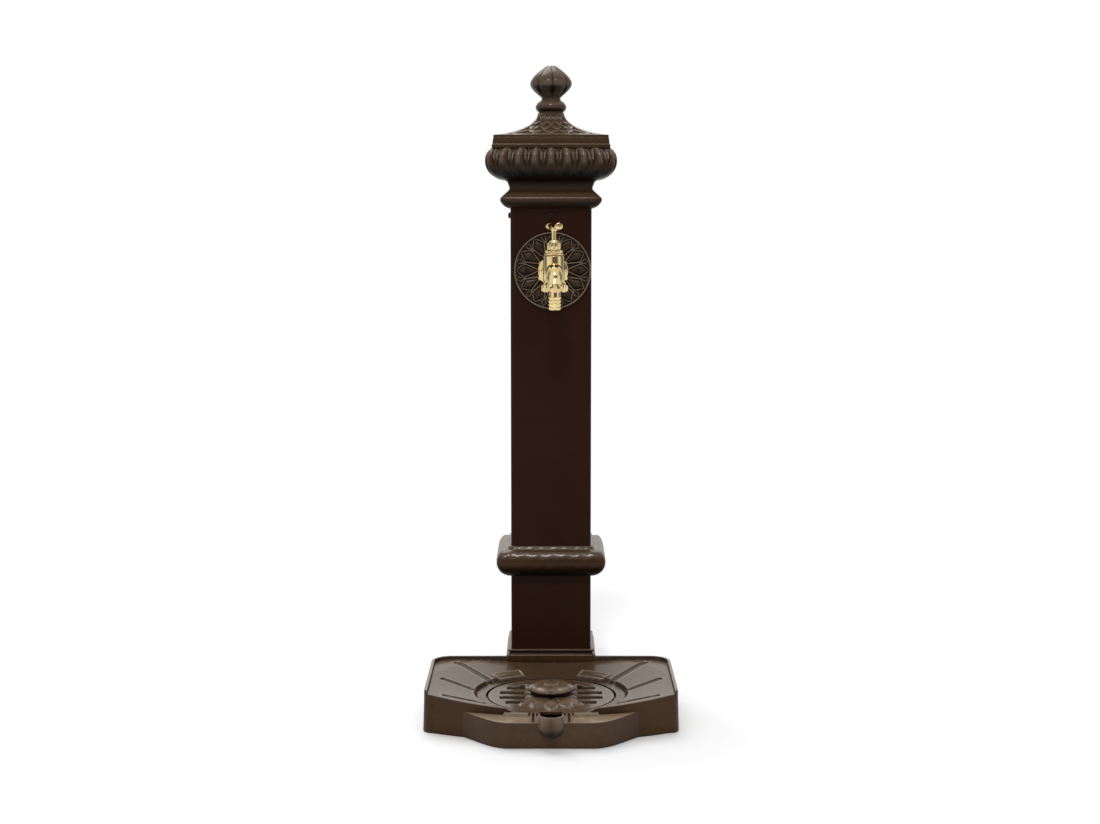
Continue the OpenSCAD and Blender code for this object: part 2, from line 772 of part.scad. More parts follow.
module tap_body() {
    bend = outlet_y - valve_y - 15;
    color(brass) at_tap() difference() {
        union() {
            ycyl(shank_r, -hex_back - 1, 31);
            translate([0, -hex_back, 0]) rotate([-90, 30, 180]) zhex(body_af, 0, hex_front - hex_back);
            ycyl(16, -hex_front - 4, -hex_front + 1);
            ycyl(13.5, -valve_y, -hex_front);
            translate([0, -valve_y, 0]) {
                zcyl(barrel_r, -10, barrel_top);
                translate([0, 0, -10]) sphere(r = barrel_r);
            }
            translate([0, 0, spout_axis_z]) ycyl(spout_tube_r, -valve_y - bend, -valve_y);
            spout_bend(spout_tube_r);
            translate([0, -outlet_y, 0]) {
                zcyl(spout_tube_r, shoulder_z, spout_axis_z - 15);
                zcyl(outlet_r + 1.3, shoulder_z, shoulder_z + 2.2);
                zcyl(outlet_r, outlet_end, shoulder_z + 0.5);
            }
        }
        ycyl(7, -22, 32);
        translate([0, -19, -1]) rotate([90 + 34, 0, 0]) cylinder(r = 4.2, h = 28);
        translate([0, -valve_y, 0]) {
            zcyl(chamber_r, seat_z, barrel_top + 1);
            zcyl(seat_r, -17, seat_z + 1);
        }
        translate([0, 0, spout_axis_z]) ycyl(spout_bore_r, -valve_y - bend, -valve_y);
        spout_bend(spout_bore_r);
        translate([0, -outlet_y, 0]) zcyl(spout_bore_r, outlet_end - 1, spout_axis_z - 15);
    }
}

// Quarter bend of the spout, from level to straight down
module spout_bend(r) {
    translate([0, -outlet_y + 15, spout_axis_z - 15]) rotate([0, -90, 0])
        rotate_extrude(angle = -90, $fn = 96) translate([15, 0]) circle(r = r);
}

module tap_washer() {
    color(fibre_red) at_tap() difference() {
        ycyl(19.5, -hex_back, -rosette_t - 1.3);
        ycyl(shank_r + slip, -hex_back - 1, 0);
    }
}

module tap_backnut() {
    color(brass) at_tap() difference() {
        translate([0, column_wall + 0.8, 0]) rotate([-90, 30, 0]) zhex(28, 0, 7.7);
        ycyl(shank_r + thread_fit, 0, 20);
    }
}

module tap_elbow() {
    color(brass) at_tap() difference() {
        union() {
            ycyl(15, 16, half);
            translate([0, half, 0]) {
                sphere(r = 15);
                zcyl(15, -34, 0);
                zhex(30, -34, -22);
            }
        }
        ycyl(shank_r + thread_fit, 15, 31.5);
        ycyl(7, 30, half);
        translate([0, half, 0]) {
            zcyl(7, -20, 0);
            zcyl(pipe_r + thread_fit, -35, -elbow_stop);
        }
    }
}

module riser_pipe() {
    color(zinc) at_column() zring(pipe_r, pipe_bore, riser_z0, tap_z - elbow_stop - 0.2);
}

module pipe_guides() {
    w = bore_half - slip / 2;
    color(zinc) at_column() for (z = [guide_low, guide_high]) difference() {
        translate([-w, -guide_w / 2, z]) cube([2 * w, guide_w, guide_t]);
        zcyl(pipe_r + slip, z - 1, z + guide_t + 1);
    }
}

module inlet_coupling() {
    color(brass) at_column() difference() {
        zhex(30, 0, 44);
        zcyl(supply_r, -1, 18);
        zcyl(pipe_bore, 0, 30);
        zcyl(pipe_r + thread_fit, riser_z0, 45);
    }
}

module bonnet() {
    color(brass) at_valve() difference() {
        union() {
            zcyl(chamber_r - thread_fit, bonnet_bottom, flange_z + 1);
            zcyl(14.5, flange_z, bonnet_hex_z);
            zhex(22, bonnet_hex_z - 0.5, neck_z);
            zcyl(7.5, neck_z - 1, neck_top);
        }
        zcyl(screw_r + thread_fit, bonnet_bottom - 1, neck_z - 1.5);
        zcyl(stem_r + thread_fit, bonnet_bottom, neck_top);
        zcyl(6.2, gland_z, neck_top + 1);
    }
}

module bonnet_washer() {
    color(fibre_red) at_valve() zring(14.9, chamber_r + 0.1, barrel_top, flange_z);
}

module gland_packing() {
    color(rubber_black) at_valve() zring(6.15, stem_r + 0.05, gland_z, neck_top);
}

module gland_nut() {
    color(brass) at_valve() difference() {
        union() {
            zhex(17, neck_z, gland_top - 4);
            translate([0, 0, gland_top - 4]) cylinder(r1 = 8.5, r2 = 6.5, h = 4);
        }
        zcyl(7.5 + thread_fit, neck_z - 1, neck_top + 0.1);
        zcyl(stem_r + thread_fit, neck_z, gland_top + 1);
    }
}

module jumper_valve() {
    color(brass) at_valve() {
        zcyl(8.5, jumper_z, jumper_z + jumper_t);
        zcyl(2.9, jumper_z + 1, 14);
        zcyl(1.5, seat_z - 3, jumper_z + 1);
    }
}

module jumper_washer() {
    color(rubber_black) at_valve() zring(8, 1.55, seat_z, jumper_z);
}

module jumper_nut() {
    color(brass) at_valve() difference() {
        zhex(5.5, seat_z - 2.4, seat_z);
        zcyl(1.55, seat_z - 4, seat_z + 1);
    }
}

module spindle() {
    color(brass) at_valve() difference() {
        union() {
            zcyl(screw_r, jumper_z + jumper_t, screw_top);
            zcyl(stem_r, screw_top - 1, tee_z);
        }
        zcyl(2.9 + thread_fit, jumper_z, 15);
    }
}

module tee_bar() {
    knob_l = 11;
    color(brass) at_valve() translate([0, 0, tee_z]) rotate([0, 0, tee_turn - tap_swing]) difference() {
        union() {
            ycyl(4.1, -tee_l / 2, tee_l / 2);
            zcyl(5.6, -7, 4);
            for (s = [-1, 1]) translate([0, s * tee_l / 2, 0]) rotate([90, 0, 0])
                rotate_extrude() polygon(concat(
                    [[0, -knob_l / 2]],
                    [for (i = [-4:4]) [knob_r * cos(11 * i), i * knob_l / 8]],
                    [[0, knob_l / 2]]));
        }
        zcyl(stem_r + 0.02, -8, 0);
    }
}

module union_nut() {
    color(brass) at_outlet() difference() {
        zhex(nut_af, nut_bottom, nut_top);
        zcyl(outlet_r + thread_fit, nut_floor_top, nut_top + 1);
        zcyl(tail_core + slip, nut_bottom - 1, nut_top);
    }
}

module hose_tail() {
    n = 4;
    p = 5;
    color(brass) at_outlet() difference() {
        rotate_extrude() polygon(concat(
            [[0, nut_floor_top + 2.3], [outlet_r - 0.4, nut_floor_top + 2.3],
                [outlet_r - 0.4, nut_floor_top],
                [tail_core, nut_floor_top], [tail_core, tail_end + n * p + 1]],
            [for (i = [n - 1:-1:0]) each [[barb_r, tail_end + i * p + 3.6], [barb_r, tail_end + i * p + 3],
                [tail_core, tail_end + i * p + (i == 0 ? 0 : 0.4)]]],
            [[0, tail_end]]));
        zcyl(spout_bore_r, tail_end - 1, nut_top);
    }
}

module tail_washer() {
    color(rubber_black) at_outlet()
        zring(outlet_r - 0.5, spout_bore_r + 0.5, nut_floor_top + 2.3, outlet_end);
}

// Grate

module drain_grate() {
    b = boss_r;
    color(cast_brown) at_grate() union() {
        difference() {
            zcyl(grate_r, ledge_h, grate_top);
            for (s = [0, 1]) for (row = [-1.5:1.5]) mirror([s, 0, 0]) grate_slot(row * slot_pitch);
        }
        for (i = [0:7]) rotate([0, 0, 45 * i + 22.5]) translate([0, 0, grate_top - 1])
            linear_extrude(4.5) knob_leaf();
        zcyl(b - 12, grate_top - 1, grate_top + 6);
        translate([0, 0, grate_top]) rotate_extrude() polygon([
            [0, 5], [b - 6, 5], [b - 0.5, 7.5], [b, 10],
            [b - 2.5, 13.5], [b - 9.5, 16.5], [b / 2, 18], [0, 18.5]]);
        for (i = [0:2]) translate([0, -b - 10 - 13 * i, grate_top]) zcyl(16 - 3 * i, -1, 3);
    }
}

// One slot of the grate, at distance y from its middle
module grate_slot(y) {
    x0 = boss_r + 4.5;
    x1 = sqrt(pow(grate_r - 12, 2) - y * y) - 4;
    translate([x0, y - slot_w / 2, ledge_h - 1]) cube([x1 - x0, slot_w, grate_t + 2]);
}

// Leaf under the knob, as wide at its root as at its tip
module knob_leaf() {
    leaf_r = boss_r * 0.3;
    translate([leaf_r, 0]) circle(r = leaf_r);
    translate([boss_r - leaf_r + 4, 0]) circle(r = leaf_r);
}

base_casting();
plinth_collar();
column_tube();
foot_plate();
base_bolts();
mid_collar();
collar_grub_screw();
capital();
cap_roof();
cap_frame();
cap_screws();
finial();
finial_stud();
finial_nut();
rosette();
rosette_screws();
tap_body();
tap_washer();
tap_backnut();
tap_elbow();
riser_pipe();
pipe_guides();
inlet_coupling();
bonnet();
bonnet_washer();
gland_packing();
gland_nut();
jumper_valve();
jumper_washer();
jumper_nut();
spindle();
tee_bar();
union_nut();
hose_tail();
tail_washer();
drain_grate();
drain_pot();
column_foot();
tie_bolts();
tie_nuts();
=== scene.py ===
"""Looks of the garden standpipe: cast iron enamelled dark brown, a square tube and a brass tap.

Shapes are worked out in millimetres in the column frame: X right, Y to the back, Z up,
with the column axis at X 0, Y 0. They are moved to the row frame when a mesh is made.
The main sizes are those of the CAD pieces; the others are fields of the parts.
"""

from __future__ import annotations

import functools
import json
import logging
import math
from collections.abc import Mapping, Sequence
from dataclasses import dataclass, field
from enum import Enum

import bpy
import numpy as np
from numpy.typing import ArrayLike
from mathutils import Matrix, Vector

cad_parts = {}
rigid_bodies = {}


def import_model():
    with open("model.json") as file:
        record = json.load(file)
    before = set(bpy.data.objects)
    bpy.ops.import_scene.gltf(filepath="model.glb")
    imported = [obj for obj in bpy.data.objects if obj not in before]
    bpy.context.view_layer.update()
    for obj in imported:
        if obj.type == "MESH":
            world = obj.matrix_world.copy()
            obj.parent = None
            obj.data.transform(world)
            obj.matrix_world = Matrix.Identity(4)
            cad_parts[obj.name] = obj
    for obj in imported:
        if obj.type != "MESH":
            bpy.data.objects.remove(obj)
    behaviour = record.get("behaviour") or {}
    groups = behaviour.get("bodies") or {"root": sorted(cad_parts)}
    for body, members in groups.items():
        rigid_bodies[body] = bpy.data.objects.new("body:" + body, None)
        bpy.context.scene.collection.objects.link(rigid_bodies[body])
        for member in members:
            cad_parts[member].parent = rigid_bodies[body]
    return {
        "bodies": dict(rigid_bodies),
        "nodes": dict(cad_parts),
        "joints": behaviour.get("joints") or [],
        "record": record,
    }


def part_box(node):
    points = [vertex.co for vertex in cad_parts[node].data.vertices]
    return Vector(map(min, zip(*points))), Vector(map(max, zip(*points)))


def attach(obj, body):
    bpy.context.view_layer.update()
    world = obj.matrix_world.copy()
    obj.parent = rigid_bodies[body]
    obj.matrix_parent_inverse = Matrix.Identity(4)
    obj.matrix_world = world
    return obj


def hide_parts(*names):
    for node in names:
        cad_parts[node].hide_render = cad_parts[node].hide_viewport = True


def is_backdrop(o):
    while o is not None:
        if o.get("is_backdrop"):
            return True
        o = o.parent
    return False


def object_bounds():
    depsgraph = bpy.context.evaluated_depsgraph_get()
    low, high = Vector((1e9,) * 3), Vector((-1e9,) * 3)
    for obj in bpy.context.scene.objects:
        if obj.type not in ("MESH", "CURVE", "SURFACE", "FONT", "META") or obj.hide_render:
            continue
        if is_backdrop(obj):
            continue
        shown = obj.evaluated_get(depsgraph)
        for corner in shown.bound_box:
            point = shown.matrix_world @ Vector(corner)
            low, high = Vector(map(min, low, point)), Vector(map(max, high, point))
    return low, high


log = logging.getLogger("standpipe")

MM = 0.001
TAU = 2.0 * math.pi
Array = np.ndarray
Corner = tuple[float, float, float]
Colour = tuple[float, float, float]
Noises = tuple[tuple[float, float], ...]


class Finish(Enum):
    """The finishes of the standpipe, by the material slot of the record."""

    CAST = "cast_brown"
    TUBE = "tube_brown"
    SCREW = "dark_screw"
    ZINC = "zinc_steel"
    BRASS = "brass"
    FIBRE = "fibre"
    RUBBER = "rubber"


class Body(Enum):
    """The moving bodies of the standpipe."""

    STANDPIPE = "standpipe"
    JUMPER = "jumper"
    SPINDLE = "spindle"
    TAIL = "tail"
    NUT = "union_nut"
    GRATE = "grate"


def unit(x: Array) -> Array:
    """Values held between 0 and 1."""
    return np.clip(x, 0.0, 1.0)


def ease(x: Array) -> Array:
    """Smooth step: 3x² - 2x³ with x held between 0 and 1."""
    x = unit(x)
    return x * x * (3.0 - 2.0 * x)


def most(*values: Array | float) -> Array:
    """The largest of several values, point by point."""
    return functools.reduce(np.maximum, values)


def path_points(*runs: ArrayLike) -> Array:
    """Runs of points or of values, one after another."""
    return np.concatenate(runs)


def angles(n: int, shift: float = 0.0) -> Array:
    """Angles of n equal steps round a circle, moved on by a part of a step."""
    return (np.arange(n) + shift) * TAU / n


def polar(r: Array | float, a: Array, z: Array | float) -> Array:
    """Points at a radius, an angle and a height: r cos a, r sin a and z."""
    return np.stack(np.broadcast_arrays(r * np.cos(a), r * np.sin(a), z), axis=-1)


def hump(x: Array, width: float) -> Array:
    """Bell curve: e to the power of minus the square of x over the width."""
    return np.exp(-((x / width) ** 2))


def arc(cx: float, cy: float, r: float, a0: float, a1: float, n: int) -> Array:
    """Points on an arc: centre plus r times the cosine and sine of the angle.

    Args:
        cx: Centre, first axis.
        cy: Centre, second axis.
        r: Radius.
        a0: First angle in degrees.
        a1: Last angle in degrees.
        n: Number of points.

    Returns:
        An n by 2 array.
    """
    a = np.radians(np.linspace(a0, a1, n))
    return np.stack([cx + r * np.cos(a), cy + r * np.sin(a)], axis=1)


def rounded(*corners: Corner, n: int = 5) -> Array:
    """A profile with its corners rounded.

    Each corner is cut back by its radius along both neighbours, and the cut is filled with
    a quadratic curve: (1-t)² start + 2t(1-t) corner + t² end.

    Args:
        corners: First value, second value and radius of each. The ends keep radius 0.
        n: Points in each rounding.

    Returns:
        The profile points.
    """
    c = np.array(corners, dtype=float)
    runs: list[Array] = []
    for i, (p, r) in enumerate(zip(c[:, :2], c[:, 2])):
        if r <= 0.0 or i in (0, len(c) - 1):
            runs.append(p[None, :])
            continue
        before, after = c[i - 1, :2] - p, c[i + 1, :2] - p
        la, lb = np.linalg.norm(before), np.linalg.norm(after)
        start = p + before / la * min(r, 0.49 * la)
        end = p + after / lb * min(r, 0.49 * lb)
        t = np.linspace(0.0, 1.0, n)[:, None]
        runs.append((1 - t) ** 2 * start + 2 * t * (1 - t) * p + t**2 * end)
    return np.concatenate(runs)


@dataclass
class Skin:
    """A surface: points in millimetres, faces as index arrays, and two marks of each point.

    The marks run from 0 to 1: painted shade, mostly in hollows, and rubbed paint with painted
    highlights.
    """

    points: Array
    faces: list[Array]
    hollow: Array
    ridge: Array

    @classmethod
    def grid(
        cls,
        p: Array,
        hollow: Array | None = None,
        ridge: Array | None = None,
        along: bool = False,
        closed: bool = False,
        keep: Array | None = None,
    ) -> Skin:
        """A surface from a grid of points, closed round: each cell of four neighbours is a face.

        Args:
            p: Points, rows by columns by 3.
            hollow: Painted shade for each point, 0 to 1.
            ridge: Rubbed paint and painted highlights for each point, 0 to 1.
            along: Joins the last row to the first.
            closed: Closes the first and last row with a fan to their middle.
            keep: Cells that are kept, rows by columns.

        Returns:
            The surface, faces outwards.
        """
        rows, cols = p.shape[:2]
        index = np.arange(rows * cols).reshape(rows, cols)
        index = np.concatenate([index, index[:, :1]], axis=1)
        if along:
            index = np.concatenate([index, index[:1]], axis=0)
        quads = np.stack([index[:-1, :-1], index[:-1, 1:], index[1:, 1:], index[1:, :-1]], axis=-1)
        quads = quads[keep] if keep is not None else quads.reshape(-1, 4)
        points = p.reshape(-1, 3)
        given = (0.0 if mark is None else mark for mark in (hollow, ridge))
        marks = [np.broadcast_to(mark, (rows, cols)).reshape(-1) for mark in given]
        faces = [quads]
        if closed:
            n = len(points)
            points = np.concatenate([points, p[0].mean(axis=0)[None], p[-1].mean(axis=0)[None]])
            marks = [np.concatenate([m, m[:1], m[-1:]]) for m in marks]
            first, last = index[0], index[-1]
            faces.append(np.stack([first[1:], first[:-1], np.full(len(first) - 1, n)], axis=1))
            faces.append(np.stack([last[:-1], last[1:], np.full(len(last) - 1, n + 1)], axis=1))
        return cls(points, faces, *marks).facing_out()

    @classmethod
    def together(cls, *skins: Skin) -> Skin:
        """Several surfaces as one."""
        starts = np.cumsum([0] + [len(s.points) for s in skins])
        faces = [f + start for s, start in zip(skins, starts) for f in s.faces]
        points = np.concatenate([s.points for s in skins])
        hollow, ridge = ([getattr(s, mark) for s in skins] for mark in ("hollow", "ridge"))
        return cls(points, faces, np.concatenate(hollow), np.concatenate(ridge))

    def facing_out(self) -> Skin:
        """Turns the faces outwards: the sum of area normal times place tells how they look."""
        middle = self.points.mean(axis=0)
        total = 0.0
        for f in self.faces:
            a, b, c = (self.points[f[:, k]] - middle for k in (0, 1, 2))
            total += float((np.cross(a, b) * c).sum())
            if f.shape[1] == 4:
                d = self.points[f[:, 3]] - middle
                total += float((np.cross(a, c) * d).sum())
        if total < 0:
            self.faces = [f[:, ::-1] for f in self.faces]
        return self

    def moved(self, shift: Sequence[float]) -> Skin:
        """The surface moved by a shift."""
        self.points = self.points + np.array(shift)
        return self

    def turned(self, matrix: Array) -> Skin:
        """The surface turned by a rotation matrix."""
        self.points = self.points @ matrix.T
        return self


OUT_OF_WALL = np.array([[1.0, 0.0, 0.0], [0.0, 0.0, -1.0], [0.0, 1.0, 0.0]])


def spin(degrees: float) -> Array:
    """Rotation matrix about Z."""
    c, s = math.cos(math.radians(degrees)), math.sin(math.radians(degrees))
    return np.array([[c, -s, 0.0], [s, c, 0.0], [0.0, 0.0, 1.0]])


def turning(profile: Array, n: int = 96, ring: bool = False) -> Skin:
    """A turned surface: each profile point of radius and height carried round the Z axis.

    Args:
        profile: Rows of radius and height.
        n: Points around.
        ring: Joins the last row to the first, for a ring with a bore. Else both ends are closed.

    Returns:
        The surface.
    """
    r, z = np.hsplit(profile, 2)
    return Skin.grid(polar(r, angles(n), z), closed=not ring, along=ring)


def hexagon(
    across: float,
    low: float,
    high: float,
    chamfer: float,
    bore: float = 0.0,
    turned: float = 2.0,
    n: int = 192,
) -> Skin:
    """A hexagon bar with turned chamfers: the smaller of the hexagon's radius and a cone's.

    Args:
        across: Width over the flats.
        low: Lower end.
        high: Upper end.
        chamfer: Height of the chamfer at each end.
        bore: Radius of the hole, 0 for none.
        turned: Corners are turned down to this part of the half width.
        n: Points around.

    Returns:
        The surface along Z, with a corner towards +X.
    """
    a, half = angles(n), across / 2
    hexed = np.minimum(half / np.cos(np.mod(a, TAU / 6) - TAU / 12), half * turned)
    corner = half / math.cos(math.pi / 6)
    limit = np.array([half - 0.4, half + 0.2, corner + 0.05])
    z_low = low + chamfer * np.array([0.0, 0.15, 1.0])
    z_high = high - chamfer * np.array([1.0, 0.15, 0.0])
    cone = np.concatenate([limit, limit[::-1]])[:, None]
    z = np.concatenate([z_low, z_high])[:, None]
    p = polar(np.minimum(cone, hexed), a, z)
    if bore <= 0.0:
        return Skin.grid(p, closed=True)
    hole = polar(bore, a, np.array([[high], [low]]))
    return Skin.grid(np.concatenate([p, hole]), along=True)


def square_plan(s: Array, w: Array, m: Array | float) -> tuple[Array, Array]:
    """One side of a rounded square: s and -1, over (|s|^m + 1)^(1/m), times the half width."""
    g = (np.abs(s) ** m + 1.0) ** (1.0 / m)
    return w * s / g, -w / g


def square_turning(
    w: Array, z: Array, m: Array | float, s: Array, along: bool = True, **marks: Array
) -> Skin:
    """A moulding carried round a rounded square.

    Args:
        w: Half widths, rows by 1 or rows by columns of one side.
        z: Heights, rows by 1 or the same shape.
        m: Squareness of all rows, or rows by 1. A large value gives a sharp corner.
        s: Places along one side, -1 up to below 1.
        along: Joins the last row to the first.
        marks: Painted shade, and rubbed paint with painted highlights, of one side, as for
            Skin.grid.

    Returns:
        The surface.
    """
    x, y = square_plan(s[None, :], w, m)

    def four(values: Array) -> Array:
        """Values of one side, for all four."""
        return np.tile(np.broadcast_to(values, x.shape), (1, 4))

    px, py = (np.concatenate(sides, axis=1) for sides in ((x, -y, -x, y), (y, x, -y, -x)))
    p = np.stack([px, py, four(z)], axis=-1)
    return Skin.grid(p, along=along, **{name: four(mark) for name, mark in marks.items()})


def side_places(n: int) -> Array:
    """Places along one side of a square, closer together towards the corners."""
    return np.sin(np.linspace(-1.0, 1.0, n, endpoint=False) * math.pi / 2)


# Finishes


class Value:
    """A shader socket with arithmetic."""

    def __init__(self, graph: Graph, socket: bpy.types.NodeSocket) -> None:
        """Keeps the graph and the socket."""
        self.graph = graph
        self.socket = socket

    def _math(self, kind: str, a: object, b: object) -> Value:
        """One Math node."""
        made = self.graph.node("ShaderNodeMath", {"operation": kind}, {0: a, 1: b})
        return Value(self.graph, made.outputs[0])

    def __add__(self, other: object) -> Value:
        """Sum."""
        return self._math("ADD", self, other)

    def __radd__(self, other: object) -> Value:
        """Sum, the other way round."""
        return self._math("ADD", other, self)

    def __sub__(self, other: object) -> Value:
        """Difference."""
        return self._math("SUBTRACT", self, other)

    def __rsub__(self, other: object) -> Value:
        """Difference, the other way round."""
        return self._math("SUBTRACT", other, self)

    def __mul__(self, other: object) -> Value:
        """Product."""
        return self._math("MULTIPLY", self, other)

    def __rmul__(self, other: object) -> Value:
        """Product, the other way round."""
        return self._math("MULTIPLY", other, self)

    def between(self, low: float, high: float) -> Value:
        """Smooth step from 0 at low to 1 at high."""
        made = self.graph.node(
            "ShaderNodeMapRange",
            {"interpolation_type": "SMOOTHSTEP", "clamp": True},
            {"Value": self, "From Min": low, "From Max": high},
        )
        return Value(self.graph, made.outputs[0])


class Graph:
    """The nodes of one material or world."""

    def __init__(self, owner: bpy.types.Material | bpy.types.World) -> None:
        """Empties the owner's node tree."""
        owner.use_nodes = True
        self.owner = owner
        self.tree = owner.node_tree
        self.tree.nodes.clear()

    @classmethod
    def material(cls, name: str) -> Graph:
        """The graph of a new material."""
        return cls(bpy.data.materials.new(name))

    @property
    def place(self) -> Value:
        """Object coordinates."""
        return Value(self, self.node("ShaderNodeTexCoord", {}, {}).outputs["Object"])

    def direction(self) -> Value:
        """Direction into the world."""
        return Value(self, self.node("ShaderNodeTexCoord", {}, {}).outputs["Generated"])

    def node(
        self, kind: str, settings: Mapping[str, object], sockets: Mapping[str | int, object]
    ) -> bpy.types.Node:
        """Makes one node: settings first, then socket values and links.

        Args:
            kind: Node type.
            settings: Settings of the node, by name.
            sockets: Values or links of its inputs, by name or number.

        Returns:
            The node.
        """
        made = self.tree.nodes.new(kind)
        for key, value in settings.items():
            setattr(made, key, value)
        for key, value in sockets.items():
            if isinstance(value, Value):
                self.tree.links.new(value.socket, made.inputs[key])
            elif isinstance(value, bpy.types.NodeSocket):
                self.tree.links.new(value, made.inputs[key])
            elif isinstance(value, tuple) and made.inputs[key].type == "RGBA":
                made.inputs[key].default_value = (*value, 1.0)
            else:
                made.inputs[key].default_value = value
        return made

    def noise(self, scale: float, detail: float) -> Value:
        """Noise in object space, about 0 to 1."""
        made = self.node(
            "ShaderNodeTexNoise",
            {"noise_dimensions": "3D"},
            {"Vector": self.place, "Scale": scale, "Detail": detail},
        )
        return Value(self, made.outputs[0])

    def blend(self, factor: object, a: object, b: object) -> bpy.types.NodeSocket:
        """Mix of two colours."""
        made = self.node("ShaderNodeMix", {"data_type": "RGBA"}, {0: factor, 6: a, 7: b})
        return made.outputs[2]

    def upward(self) -> Value:
        """How far a face looks up: the height of its normal, -1 to 1."""
        coordinates = self.node("ShaderNodeTexCoord", {}, {})
        parts = self.node("ShaderNodeSeparateXYZ", {}, {0: coordinates.outputs["Normal"]})
        return Value(self, parts.outputs[2])

    def mark(self, name: str) -> Value:
        """A mark of the mesh, 0 to 1: painted shade, or rubbed paint with painted highlights."""
        made = self.node("ShaderNodeAttribute", {"attribute_name": name}, {})
        return Value(self, made.outputs["Fac"])

    def bump(self, height: Value, strength: float, depth: float) -> bpy.types.NodeSocket:
        """Bump from a height of 0 to 1, depth in metres."""
        sockets = {"Height": height, "Strength": strength, "Distance": depth}
        return self.node("ShaderNodeBump", {}, sockets).outputs[0]

    def finish(self, sockets: Mapping[str | int, object]) -> bpy.types.Material:
        """Closes the graph with a surface shader."""
        shader = self.node("ShaderNodeBsdfPrincipled", {}, sockets)
        self.node("ShaderNodeOutputMaterial", {}, {"Surface": shader.outputs[0]})
        return self.owner


@dataclass(frozen=True)
class Enamel:
    """Brown enamel on cast iron or steel, with painted top light in a dusty tone and more sheen on
    what looks up.
    """

    name: str
    dark: Colour
    light: Colour
    # Colour of rubbed paint, also used for painted highlights.
    worn_and_highlight: Colour
    # Colour of painted top light on faces that look up, a dusty tone.
    dust_and_top_light: Colour
    rough: float
    grain: float
    sheen: float
    specular: float = 0.1
    gloss: float = 0.0
    noises: Noises = ((520.0, 3.0), (110.0, 2.0), (9.0, 2.0))
    tint: Colour = (1.0, 0.9, 0.8)
    shadow: Colour = (0.002, 0.0012, 0.0008)

    def make(self) -> bpy.types.Material:
        """Drifting brown rubbed on grains; painted highlights on rubbed ridges; painted top light;
        painted shade in hollows and below.
        """
        g = Graph.material(self.name)
        fine, lumps, drift = (g.noise(scale, detail) for scale, detail in self.noises)
        up, hollow, ridge = g.upward(), g.mark("hollow"), g.mark("ridge")
        top = up.between(0.1, 0.9)
        paint = g.blend(drift.between(0.3, 0.7), self.dark, self.light)
        rubbed = (fine * 0.6 + lumps * 0.4).between(0.56, 0.74) * (self.grain * 0.25)
        paint = g.blend(rubbed, paint, self.worn_and_highlight)
        # Painted top light: faces that look up are mixed towards a dusty light tone.
        paint = g.blend(top * (0.55 + drift * 0.5), paint, self.dust_and_top_light)
        # Rubbed paint on ridges, and painted highlights where the mark is set.
        paint = g.blend(ridge * (0.4 + lumps * 0.6), paint, self.worn_and_highlight)
        # Painted shade: darker by the shade mark and on faces that look down.
        shade = hollow * 0.75 + (0.0 - up).between(0.0, 0.55) * 0.78
        paint = g.blend(shade, paint, self.shadow)
        coat = self.gloss + top * (1.0 - self.gloss) + ridge * 0.3
        return g.finish(
            {
                "Base Color": paint,
                "Roughness": self.rough + (fine - 0.5) * 0.25 + (lumps - 0.5) * 0.12,
                "Specular IOR Level": self.specular,
                "Specular Tint": self.tint,
                "Coat Weight": coat * (1.0 - hollow) * self.sheen,
                "Coat Roughness": 0.2,
                "Coat IOR": 1.5,
                "Coat Tint": self.tint,
                "Normal": g.bump(fine * 0.65 + lumps * 0.35, self.grain, 0.0011),
            }
        )


@dataclass(frozen=True)
class Metal:
    """Bare or plated metal."""

    name: str
    bright: Colour
    dull: Colour
    rough: float
    grain: float = 0.05
    noises: Noises = ((70.0, 3.0), (900.0, 2.0))

    def make(self) -> bpy.types.Material:
        """Metal whose colour and polish drift, with a faint grain."""
        g = Graph.material(self.name)
        drift, fine = (g.noise(scale, detail) for scale, detail in self.noises)
        return g.finish(
            {
                "Base Color": g.blend(drift.between(0.35, 0.7), self.bright, self.dull),
                "Metallic": 1.0,
                "Roughness": self.rough + (drift - 0.5) * 0.14 + (fine - 0.5) * 0.06,
                "Normal": g.bump(fine * 0.5 + drift * 0.5, self.grain, 0.0004),
            }
        )


@dataclass(frozen=True)
class Soft:
    """Fibre or rubber."""

    name: str
    one: Colour
    two: Colour
    rough: float
    noise: tuple[float, float] = (1400.0, 2.0)

    def make(self) -> bpy.types.Material:
        """Matt stuff with a speckle."""
        g = Graph.material(self.name)
        speck = g.noise(*self.noise)
        return g.finish(
            {
                "Base Color": g.blend(speck.between(0.4, 0.65), self.one, self.two),
                "Roughness": self.rough + (speck - 0.5) * 0.1,
                "Normal": g.bump(speck, 0.15, 0.0003),
            }
        )


